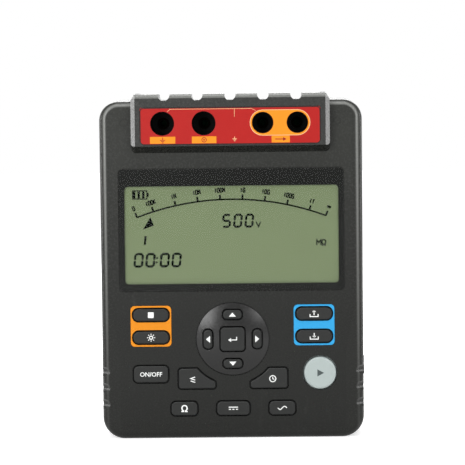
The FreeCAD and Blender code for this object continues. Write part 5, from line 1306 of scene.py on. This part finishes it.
@dataclass
class TerminalBlock:
    """The hood, its red plate with the printed marks, the sockets and their sleeves.

    Edges are in metres. The rest is in millimetres, and places are from the plate's middle.

    Attributes:
        hood_edge: round of the hood's edges.
        plate_edge: round of the plate's edges.
        tags: place and width of each tag.
        tag_height: height of a tag.
        tag_corner: radius of its corners.
        tag_level: middle of the tags.
        sign_line: width of the lines on the tags.
        earth_size: width of the first tag's earth sign.
        guard_sign: radius of the second tag's circle and of the dot in it.
        arrow_line: width of the third tag's arrow.
        opening: radius of the holes in the orange field.
        field_margin: the orange field beyond the last two sockets.
        outline: width of that field's pale outline.
        rim_line: width of the near-black painted shade line round the plate.
        rim_margin: what that line lacks of the plate's width and height.
        rim_corner: radius of its outer corners.
        rim_inner_corner: radius of its inner corners.
        thin_line: width of the line that joins the sockets.
        bracket_rise: how far that line runs over the sockets' level.
        branch: place of its branch.
        branch_length: how far the branch ends under the line.
        branch_sign: width of the earth sign under the branch, and of its lines.
    """

    hood_edge: float = 0.35 * MM
    plate_edge: float = 0.12 * MM
    tags: tuple[Point, ...] = ((-39.4, 14.8), (-15.2, 14.3), (29.4, 10.6))
    tag_height: float = 4.0
    tag_corner: float = 0.25
    tag_level: float = -8.1
    sign_line: float = 0.45
    earth_size: float = 3.2
    guard_sign: Point = (1.3, 0.5)
    arrow_line: float = 0.5
    opening: float = 6.3
    field_margin: float = 0.9
    outline: float = 0.36
    rim_line: float = 0.5
    rim_margin: float = 0.1
    rim_corner: float = 2.0
    rim_inner_corner: float = 1.8
    thin_line: float = 0.24
    bracket_rise: float = 8.3
    branch: float = 2.6
    branch_length: float = 4.6
    branch_sign: Point = (2.6, 0.35)

    def sockets(self) -> dict[str, Point]:
        """Each socket's centre.

        Returns:
            X and Z of each, by its node.
        """
        base = middle("terminal_plate")
        names = ("socket_earth", "socket_guard", "socket_sense", "socket_line")
        found = {name: middle(name) - base for name in names}
        return {name: (place.x / MM, place.z / MM) for name, place in found.items()}

    def place(self, marks: Marks, name: str, colour: Ink, lift: float = 0.0) -> None:
        """Put marks on the plate's face.

        Args:
            marks: the marks.
            name: the piece's name.
            colour: the ink.
            lift: how far they stand off it.
        """
        low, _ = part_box("terminal_plate")
        base = middle("terminal_plate")
        marks.finish(name, (base.x, base.z), low.y - lift * MM, colour)

    def rim(self) -> None:
        """Painted shade: a near-black line round the plate's edge, for the shade in the gap where it
        meets its recess.
        """
        low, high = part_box("terminal_plate")
        wide, tall = (high.x - low.x) / MM, (high.z - low.z) / MM
        inset = 2 * self.rim_line
        outer = rounded(wide - self.rim_margin, tall - self.rim_margin, self.rim_corner)
        inner = rounded(wide - inset, tall - inset, self.rim_inner_corner)
        # The line is painted shade, not print.
        self.place(Marks().region(outer, inner), "terminal_plate_gap_shade", Ink.BLACK)

    def field(self) -> None:
        """The orange field round the last two sockets, with its pale outline."""
        places = self.sockets()
        (x0, level), (x1, _) = places["socket_sense"], places["socket_line"]
        radius = self.opening + self.field_margin
        centre = ((x0 + x1) / 2, level)
        length = x1 - x0
        shapes = []
        for reach in (radius, radius + self.outline):
            shapes.append(rounded(length + 2 * reach, 2 * reach, reach - 0.01, centre))
        inner, rim = shapes
        holes = [ring((x, level), self.opening, 40) for x in (x0, x1)]
        self.place(Marks().region(inner, *holes), "terminal_field", Ink.ORANGE)
        self.place(Marks().region(rim, inner), "terminal_field_outline", Ink.PALE)

    def tag_shapes(self) -> None:
        """The orange tags under the sockets, with a plain symbol on each."""
        plain = Marks()
        for x, width in self.tags:
            plain.region(rounded(width, self.tag_height, self.tag_corner, (x, self.tag_level)))
        self.place(plain, "terminal_tags", Ink.ORANGE)
        earth, guard, line = (x for x, _ in self.tags)
        level = self.tag_level
        signs = Marks()
        circle, dot = self.guard_sign
        earth_sign(signs, (earth, level), self.earth_size, self.sign_line)
        signs.circle((guard, level), circle, self.sign_line)
        signs.region(ring((guard, level), dot, 16))
        signs.line([(line - 3.2, level), (line + 2.2, level)], self.arrow_line)
        tip = [(line + 1.4, level + 1.1), (line + 1.4, level - 1.1), (line + 3.5, level)]
        signs.region(np.array(tip))
        self.place(signs, "terminal_signs", Ink.RED, 0.03)

    def bracket(self) -> None:
        """The thin pale line that joins the two groups of sockets, with an earth sign under it."""
        places = self.sockets()
        first, level = places["socket_earth"]
        last, _ = places["socket_sense"]
        top = level + self.bracket_rise
        left, right = (first + 3.0, top - 1.5), (last - 4.0, top - 1.2)
        marks = Marks()
        run = [left, (left[0] + 1.6, top), (right[0] - 2.6, top), right]
        marks.line(run, self.thin_line)
        ends = [(self.branch, top - 0.15), (self.branch, top - self.branch_length)]
        marks.line(ends, self.thin_line)
        earth_sign(marks, (self.branch, self.tag_level + 0.4), *self.branch_sign)
        self.place(marks, "terminal_bracket", Ink.PALE)

    def build(self) -> None:
        """Build the block."""
        soften("terminal_hood", self.hood_edge)
        soften("terminal_plate", self.plate_edge)
        dress("socket_earth", "socket_guard", "socket_sense", "socket_line")
        dress("socket_contacts", "hood_screws")
        self.rim()
        self.field()
        self.tag_shapes()
        self.bracket()


@dataclass
class Display:
    """The lens with its printed border, the glass and what the display shows.

    Sizes are in millimetres, and places are from the middle of the glass.

    Attributes:
        window: width and height of the clear window in the border.
        corner: corner radius of the window and of the border.
        border_margin: what the border lacks of the lens's width and height.
        scale_half: half of the scale's chord.
        scale_inner: half of the chord's stretch that holds the inner ticks.
        scale_rise: height of the scale's arc over its chord.
        scale_level: level of the chord's ends.
        scale_line: width of the arc.
        tick: length of a tick.
        tick_line: width of a tick.
        letter: width and height of the scale's letters.
        letter_line: width of their strokes.
        letter_lift: from the end of a tick to the middle of its label.
        labels: what stands over the ticks, from left to right.
        battery_at: middle of the battery sign.
        battery_size: its width and height.
        battery_line: width of its frame's line.
        battery_knob: width and height of its knob.
        battery_bar: width and height of a bar.
        battery_first: from the sign's middle to its first bar.
        battery_pitch: from one bar to the next.
        voltage: style of the test voltage.
        clock: style of the time.
    """

    window: Point = (126.1, 57.7)
    corner: float = 2.4
    border_margin: float = 0.3
    scale_half: float = 55.7
    scale_inner: float = 46.0
    scale_rise: float = 10.2
    scale_level: float = 10.6
    scale_line: float = 0.95
    tick: float = 2.9
    tick_line: float = 1.15
    letter: Point = (1.1, 2.4)
    letter_line: float = 0.72
    letter_lift: float = 2.6
    labels: tuple[str, ...] = ("0", "100K", "1M", "10M", "100M", "1G", "10G", "100G", "1T", "∞")
    battery_at: Point = (-53.9, 23.9)
    battery_size: Point = (9.0, 5.4)
    battery_line: float = 0.6
    battery_knob: Point = (0.8, 2.2)
    battery_bar: Point = (1.45, 4.0)
    battery_first: float = -3.3
    battery_pitch: float = 2.7
    voltage: Numeral = Numeral(width=4.0, height=7.0, bar=1.3, pitch=6.7)
    clock: Numeral = Numeral(width=4.4, height=7.3, bar=1.4, pitch=6.95)

    def border(self) -> None:
        """The dark border printed behind the lens, open over the display."""
        low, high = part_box("display_lens")
        centre = middle("display_lens")
        drop = (middle("display_glass").z - centre.z) / MM
        wide, _, tall = (high - low) / MM
        outer = rounded(wide - self.border_margin, tall - self.border_margin, self.corner)
        inner = rounded(*self.window, self.corner, (0.0, drop))
        back = high.y - 2 * Marks.THICKNESS * MM
        Marks().region(outer, inner).finish("lens_border", (centre.x, centre.z), back, Ink.LENS)

    def scale(self, marks: Marks) -> None:
        """The curved scale: an arc through both ends and the top, with ticks and labels.

        The arc's radius is (half chord squared plus rise squared) over twice the rise. Ticks
        stand along the radius, and each label is turned with its tick.

        Args:
            marks: the marks that get the scale.
        """
        half, rise = self.scale_half, self.scale_rise
        radius = (half**2 + rise**2) / (2 * rise)
        centre = (0.0, self.scale_level + rise - radius)
        end = math.degrees(math.asin(half / radius))
        marks.line(arc(centre, radius, 90 + end, 90 - end, 48), self.scale_line)
        steps = len(self.labels) - 1
        for index, label in enumerate(self.labels):
            across = half * (2 * index / steps - 1)
            if 0 < index < steps:
                across *= self.scale_inner / half * steps / (steps - 2)
            lean = math.asin(across / radius)
            out = np.array([math.sin(lean), math.cos(lean)])
            root = np.array(centre) + radius * out
            marks.line([root, root + out * self.tick], self.tick_line)
            spot = tuple(root + out * (self.tick + self.letter_lift))
            marks.letters(label, self.letter, spot, self.letter_line, -math.degrees(lean))

    def battery(self, marks: Marks) -> None:
        """The battery sign: a frame with a knob and three bars.

        Args:
            marks: the marks that get the sign.
        """
        x, y = self.battery_at
        width, height = self.battery_size
        inset = 2 * self.battery_line
        outer = rounded(width, height, 0.3, (x, y))
        marks.region(outer, rounded(width - inset, height - inset, 0.1, (x, y)))
        knob = x + (width + self.battery_knob[0]) / 2
        marks.region(rounded(*self.battery_knob, 0.1, (knob, y)))
        for index in range(3):
            bar = x + self.battery_first + self.battery_pitch * index
            marks.region(rounded(*self.battery_bar, 0.1, (bar, y)))

    def readings(self, marks: Marks) -> None:
        """The digits, the units, a lone 1 and the pointer.

        Args:
            marks: the marks that get them.
        """
        self.voltage.draw(marks, "500", (-5.2, 4.6))
        self.clock.draw(marks, "00:00", (-57.6, -18.4))
        marks.line([(-51.3, -5.6), (-50.75, -0.4)], self.voltage.bar)
        marks.letters("V", (2.6, 3.0), (15.9, 5.9), 0.7)
        marks.letters("MΩ", (2.4, 3.2), (52.9, -5.2), 0.75)
        marks.region(np.array([(-47.8, 10.7), (-52.3, 3.4), (-45.8, 5.8)]))

    def build(self) -> None:
        """Build the display."""
        dress("display_lens", "display_glass", "backlight_panel", "display_holder")
        self.border()
        marks = Marks()
        self.scale(marks)
        self.battery(marks)
        self.readings(marks)
        low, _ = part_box("display_glass")
        centre = middle("display_glass")
        marks.finish("display_segments", (centre.x, centre.z), low.y, Ink.SEGMENT)


class Legend(Enum):
    """What is printed on a key, each with the name of the method of Legends that draws it."""

    STOP = "stop"
    LIGHT = "light"
    OUT = "data_out"
    IN = "data_in"
    POWER = "power"
    COMPARE = "compare"
    CLOCK = "clock"
    START = "start"
    OHM = "ohm"
    DIRECT = "direct"
    ALTERNATING = "alternating"
    ENTER = "enter"
    UP = "up"
    DOWN = "down"
    LEFT = "left"
    RIGHT = "right"


KEY_LEGENDS: dict[str, Legend] = {
    "key_upper_left": Legend.STOP,
    "key_lower_left": Legend.LIGHT,
    "key_upper_right": Legend.OUT,
    "key_lower_right": Legend.IN,
    "key_power": Legend.POWER,
    "key_wedge_left": Legend.COMPARE,
    "key_wedge_right": Legend.CLOCK,
    "key_start": Legend.START,
    "key_mode_left": Legend.OHM,
    "key_mode_middle": Legend.DIRECT,
    "key_mode_right": Legend.ALTERNATING,
    "key_centre": Legend.ENTER,
    "key_up": Legend.UP,
    "key_down": Legend.DOWN,
    "key_left": Legend.LEFT,
    "key_right": Legend.RIGHT,
}


@dataclass(frozen=True)
class Legends:
    """The drawings of the legends, each about its own middle, in millimetres.

    Attributes:
        line: width of the lines.
        arrow: height and half base of an arrow.
        scale: how much larger than drawn the symbols are; the word and the arrows are as drawn.
    """

    line: float = 0.42
    arrow: Point = (2.4, 2.05)
    scale: float = 1.25

    def draw(self, legend: Legend) -> Marks:
        """Draw a legend with its method."""
        return getattr(self, legend.value)()

    def pointing(self, angle: float) -> Marks:
        """An arrow that points upwards, turned by an angle in degrees.

        Args:
            angle: the angle, anticlockwise.

        Returns:
            The marks.
        """
        height, half = self.arrow
        shape = np.array([(-half, -height / 2), (half, -height / 2), (0.0, height / 2)])
        return Marks().region(shape @ spin(angle))

    def up(self) -> Marks:
        """An arrow upwards."""
        return self.pointing(0)

    def left(self) -> Marks:
        """An arrow to the left."""
        return self.pointing(90)

    def down(self) -> Marks:
        """An arrow downwards."""
        return self.pointing(180)

    def right(self) -> Marks:
        """An arrow to the right."""
        return self.pointing(270)

    def power(self) -> Marks:
        """The words of a power switch."""
        return Marks().words("ON/OFF", 2.5, 0.04)

    def ohm(self) -> Marks:
        """The sign for resistance."""
        return Marks().words("Ω", 3.0, 0.1).grow(self.scale)

    def stop(self) -> Marks:
        """A filled square."""
        return Marks().region(rounded(2.7, 2.7, 0.2)).grow(self.scale)

    def light(self) -> Marks:
        """A small circle with eight rays.

        Returns:
            The marks.
        """
        marks = Marks().circle((0.0, 0.0), 0.75, self.line)
        for angle in range(0, 360, 45):
            way = arc((0.0, 0.0), 1.0, angle, angle, 1)[0]
            marks.line([way * 1.25, way * 1.9], self.line * 0.8)
        return marks.grow(self.scale)

    def tray(self, arrow: Sequence[Point]) -> Marks:
        """An open tray with a stem and the tip of an arrow in it.

        Args:
            arrow: the corners of the arrow's tip.

        Returns:
            The marks.
        """
        marks = Marks().line([(-1.9, -0.2), (-1.9, -1.4), (1.9, -1.4), (1.9, -0.2)], self.line)
        marks.line([(0.0, -0.75), (0.0, 1.5)], self.line)
        return marks.region(np.array(arrow)).grow(self.scale)

    def data_out(self) -> Marks:
        """A tray with an arrow out of it."""
        return self.tray([(-0.95, 0.75), (0.95, 0.75), (0.0, 1.7)])

    def data_in(self) -> Marks:
        """A tray with an arrow into it."""
        return self.tray([(0.0, -0.85), (0.95, 0.1), (-0.95, 0.1)])

    def compare(self) -> Marks:
        """A sign for less than or equal."""
        marks = Marks().line([(0.8, 1.3), (-1.3, 0.55), (0.8, -0.2)], self.line)
        return marks.line([(-1.3, -0.55), (0.8, -1.3)], self.line).grow(self.scale)

    def clock(self) -> Marks:
        """A clock face with two hands."""
        marks = Marks().circle((0.0, 0.0), 1.45, self.line)
        return marks.line([(0.0, 0.95), (0.0, 0.0), (0.75, -0.35)], self.line * 0.9).grow(self.scale)

    def start(self) -> Marks:
        """A filled triangle to the right."""
        return Marks().region(np.array([(-1.3, 1.7), (-1.3, -1.7), (1.9, 0.0)])).grow(self.scale)

    def direct(self) -> Marks:
        """A line over three dashes.

        Returns:
            The marks.
        """
        marks = Marks().line([(-2.2, 0.55), (2.2, 0.55)], self.line)
        for x in (-1.65, 0.0, 1.65):
            marks.line([(x - 0.5, -0.45), (x + 0.5, -0.45)], self.line)
        return marks.grow(self.scale)

    def alternating(self) -> Marks:
        """One turn of a sine wave: the height is a share of the sine of the way along.

        Returns:
            The marks.
        """
        across = np.linspace(-1.0, 1.0, 25)
        wave = np.stack([across * 2.1, np.sin(across * math.pi) * 0.75], axis=1)
        return Marks().line(wave, self.line).grow(self.scale)

    def enter(self) -> Marks:
        """An angled arrow to the left."""
        marks = Marks().line([(1.9, 1.2), (1.9, -0.3), (-1.0, -0.3)], self.line)
        return marks.region(np.array([(-0.7, 0.65), (-0.7, -1.25), (-2.1, -0.3)])).grow(self.scale)


@dataclass
class Keypad:
    """The coloured frames, the cursor disc, the keys and their printed legends.

    Attributes:
        frame_edge: round of the frames' edges in metres.
        disc_edge: round of the disc's edges in metres.
        key_edge: round of a key's edges in metres.
        drawings: the legends.
        shifts: how far a legend lies from the middle of its key, in millimetres.
    """

    frame_edge: float = 0.2 * MM
    disc_edge: float = 0.25 * MM
    key_edge: float = 0.25 * MM
    drawings: Legends = Legends()
    shifts: dict[str, Point] = field(
        default_factory=lambda: {"key_wedge_left": (-2.2, -0.6), "key_wedge_right": (2.2, -0.4)}
    )

    def legends(self) -> None:
        """Print every key's legend on its face."""
        for node, legend in KEY_LEGENDS.items():
            low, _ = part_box(node)
            centre = middle(node)
            right, up = self.shifts.get(node, (0.0, 0.0))
            place = (centre.x + right * MM, centre.z + up * MM)
            colour = Ink.SLATE if legend is Legend.START else Ink.WHITE
            marks = self.drawings.draw(legend)
            marks.finish(f"{node}_legend", place, low.y, colour, NODE_BODIES[node])

    def build(self) -> None:
        """Build the keypad."""
        soften("orange_key_frame", self.frame_edge)
        soften("blue_key_frame", self.frame_edge)
        soften("cursor_disc", self.disc_edge)
        for node in KEY_LEGENDS:
            soften(node, self.key_edge)
        dress("key_mat", "key_domes", "key_board")
        self.legends()


@dataclass
class Electronics:
    """The boards and what they carry."""

    def build(self) -> None:
        """Dress the nodes."""
        dress("main_board", "high_voltage_board", "board_chips", "board_screws")
        dress("transformer_core", "transformer_winding", "high_voltage_capacitors")
        dress("relays", "buzzer")


@dataclass
class BatteryBay:
    """The cells, their contacts, the cover and its screws.

    Attributes:
        edge: round of the cover's edges in metres.
        head: the screws' heads.
    """

    edge: float = 0.3 * MM
    head: CrossHead = CrossHead(4.6)

    def build(self) -> None:
        """Build the bay."""
        soften("battery_cover", self.edge)
        dress("batteries", "battery_contacts", "battery_cover_screws")
        self.head.build("battery_cover_screws")


@dataclass
class Stand:
    """The tilt stand and the pads on the back.

    Attributes:
        edge: round of the stand's edges in metres.
        pad_edge: round of the back pads' edges in metres.
        foot_edge: round of the stand pads' edges in metres.
    """

    edge: float = 0.3 * MM
    pad_edge: float = 0.4 * MM
    foot_edge: float = 0.15 * MM

    def build(self) -> None:
        """Build the stand."""
        soften("tilt_stand", self.edge)
        soften("rubber_pads", self.pad_edge)
        soften("stand_pads", self.foot_edge)


@dataclass
class Ports:
    """The flap at the side and the ports behind it.

    Attributes:
        edge: round of the flap's edges in metres.
    """

    edge: float = 0.3 * MM

    def build(self) -> None:
        """Build the ports."""
        soften("port_flap", self.edge)
        dress("power_jack", "data_port", "port_board")


# --------------------------------------------------------------------------------------- studio


@dataclass(frozen=True)
class Lamp:
    """A soft rectangular lamp that looks at the middle of the object.

    Attributes:
        name: the lamp's name.
        azimuth: degrees round the object; 0 is straight in front, positive to the right.
        elevation: degrees above the horizon.
        distance: metres from the middle of the object.
        width: width of the lamp in metres.
        height: height of the lamp in metres.
        power: watts.
    """

    name: str
    azimuth: float
    elevation: float
    distance: float
    width: float
    height: float
    power: float


def direction(azimuth: float, elevation: float) -> Vector:
    """From the object towards a place: sine and cosine of the azimuth, raised by the elevation."""
    a, e = math.radians(azimuth), math.radians(elevation)
    return Vector((math.sin(a) * math.cos(e), -math.cos(a) * math.cos(e), math.sin(e)))


@dataclass
class Studio:
    """A pale floor, soft light and the camera.

    Attributes:
        lamps: the lamps.
        sky: strength of the world's light.
        near_glow: how bright the floor is by itself beside the object; it is white further away.
        glow_reach: distances between which that changes, in metres.
        floor_reach: half of the floor's width in metres.
        floor_tones: the lightness between which the floor's paint varies.
        aim: what the camera looks at: right of the middle, in front of it, and above the floor.
        view: azimuth, elevation and roll of the camera in degrees.
        distance: from the camera to its aim.
        lens: focal length in millimetres.
        far: how far the camera sees, in metres.
    """

    lamps: tuple[Lamp, ...] = (
        Lamp("left_key", -23.0, 15.0, 1.3, 0.36, 0.62, 7.8),
        Lamp("right_key", 21.0, 17.0, 1.3, 0.3, 0.5, 3.0),
        Lamp("left_side", -91.0, 2.0, 1.2, 0.2, 0.8, 5.4),
        Lamp("right_side", 91.0, 2.0, 1.2, 0.2, 0.8, 4.6),
        Lamp("left_rim", -142.0, 8.0, 1.2, 0.6, 0.6, 0.5),
        Lamp("right_rim", 142.0, 8.0, 1.2, 0.6, 0.6, 0.5),
        Lamp("back_light", 180.0, 32.0, 1.5, 1.2, 0.8, 14.0),
        Lamp("top_light", 0.0, 74.0, 1.2, 0.7, 0.75, 9.0),
    )
    sky: float = 0.3
    near_glow: float = 0.6
    glow_reach: tuple[float, float] = (0.12, 0.5)
    floor_reach: float = 6.0
    floor_tones: tuple[float, float] = (0.86, 0.9)
    aim: tuple[float, float, float] = (0.0006, -0.038, 0.122)
    view: tuple[float, float, float] = (0.8, 3.2, -0.64)
    distance: float = 1.2
    lens: float = 157.9
    far: float = 40.0

    def light(self) -> None:
        """Place the lamps."""
        low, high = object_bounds()
        centre = (low + high) / 2
        for lamp in self.lamps:
            data = bpy.data.lights.new(lamp.name, "AREA")
            data.shape = "RECTANGLE"
            data.size = lamp.width
            data.size_y = lamp.height
            data.energy = lamp.power
            made = bpy.data.objects.new(lamp.name, data)
            bpy.context.scene.collection.objects.link(made)
            way = direction(lamp.azimuth, lamp.elevation)
            made.location = centre + way * lamp.distance
            made.rotation_euler = (-way).to_track_quat("-Z", "Y").to_euler()

    def seen_white(self, graph: Graph) -> Socket:
        """Tell the rays that see the surroundings: camera, glossy and transmission rays.

        Args:
            graph: the graph of the world or of the floor.

        Returns:
            1 for those rays and 0 for the others.
        """
        rays = graph.node("ShaderNodeLightPath").outputs
        first = graph.math("MAXIMUM", rays["Is Camera Ray"], rays["Is Transmission Ray"])
        return graph.math("MAXIMUM", first, rays["Is Glossy Ray"])

    def world(self) -> None:
        """A white world, which lights the object less than it shows."""
        made = bpy.data.worlds.new("studio")
        made.use_nodes = True
        graph = Graph(made.node_tree)
        seen = self.seen_white(graph)
        strength = graph.math("ADD", graph.math("MULTIPLY", seen, 1.0 - self.sky), self.sky)
        back = graph.node("ShaderNodeBackground")
        back.inputs["Color"].default_value = (1.0, 1.0, 1.0, 1.0)
        graph.feed(back.inputs["Strength"], strength)
        output = graph.node("ShaderNodeOutputWorld")
        graph.feed(output.inputs["Surface"], back.outputs["Background"])
        bpy.context.scene.world = made

    def floor_paint(self) -> bpy.types.Material:
        """The floor's material: matte paint that keeps shadows, with a glow for seeing rays.

        Returns:
            The material.
        """
        material = bpy.data.materials.new("floor_paint")
        material.use_nodes = True
        graph = Graph(material.node_tree)
        where = graph.place()
        matte = graph.node("ShaderNodeBsdfDiffuse")
        darker, paler = ((tone, tone, tone, 1.0) for tone in self.floor_tones)
        graph.feed(matte.inputs["Color"], graph.mix(graph.noise(where, 3.0), darker, paler))
        away = graph.node("ShaderNodeVectorMath", operation="LENGTH")
        graph.feed(away.inputs[0], where)
        rise = graph.ramp(away.outputs["Value"], self.glow_reach, (self.near_glow, 1.0))
        glow = graph.node("ShaderNodeEmission")
        graph.feed(glow.inputs["Strength"], graph.math("MULTIPLY", self.seen_white(graph), rise))
        both = graph.node("ShaderNodeAddShader")
        graph.feed(both.inputs[0], matte.outputs["BSDF"])
        graph.feed(both.inputs[1], glow.outputs["Emission"])
        output = graph.node("ShaderNodeOutputMaterial")
        graph.feed(output.inputs["Surface"], both.outputs["Shader"])
        return material

    def floor(self) -> None:
        """A pale floor that keeps the object's shadow and shows white away from it."""
        signs = np.array([(-1, -1, 0), (1, -1, 0), (1, 1, 0), (-1, 1, 0)])
        made = new_piece("floor", signs * self.floor_reach, [[0, 1, 2, 3]])
        made.data.materials.append(self.floor_paint())
        made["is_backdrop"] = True

    def camera(self) -> None:
        """The camera, nearly in front and a little above."""
        azimuth, elevation, roll = self.view
        way = direction(azimuth, elevation)
        data = bpy.data.cameras.new("camera")
        data.lens = self.lens
        data.clip_end = self.far
        made = bpy.data.objects.new("camera", data)
        bpy.context.scene.collection.objects.link(made)
        made.rotation_mode = "QUATERNION"
        turn = Matrix.Rotation(math.radians(roll), 4, "Z").to_quaternion()
        made.rotation_quaternion = (-way).to_track_quat("-Z", "Y") @ turn
        made.location = Vector(self.aim) + way * self.distance
        bpy.context.scene.camera = made

    def build(self) -> None:
        """Set the stage."""
        bpy.context.scene.view_settings.view_transform = "Standard"
        self.camera()
        self.light()
        self.world()
        self.floor()


def main() -> None:
    """Build everything in order."""
    logging.basicConfig(level=logging.INFO, format="%(message)s")
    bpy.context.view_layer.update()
    for make in (make_grain, make_mottle, make_scuff, make_brush):
        make()
    Studio().build()
    assemblies = (
        Case(), TerminalBlock(), Display(), Keypad(), Electronics(), BatteryBay(), Stand(), Ports(),
    )
    for assembly in assemblies:
        before = {piece.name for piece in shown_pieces()}
        assembly.build()
        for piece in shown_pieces():
            if piece.name not in before:
                LOG.info("%s: %s", type(assembly).__name__, piece.name)


if __name__ == "__main__":
    main()
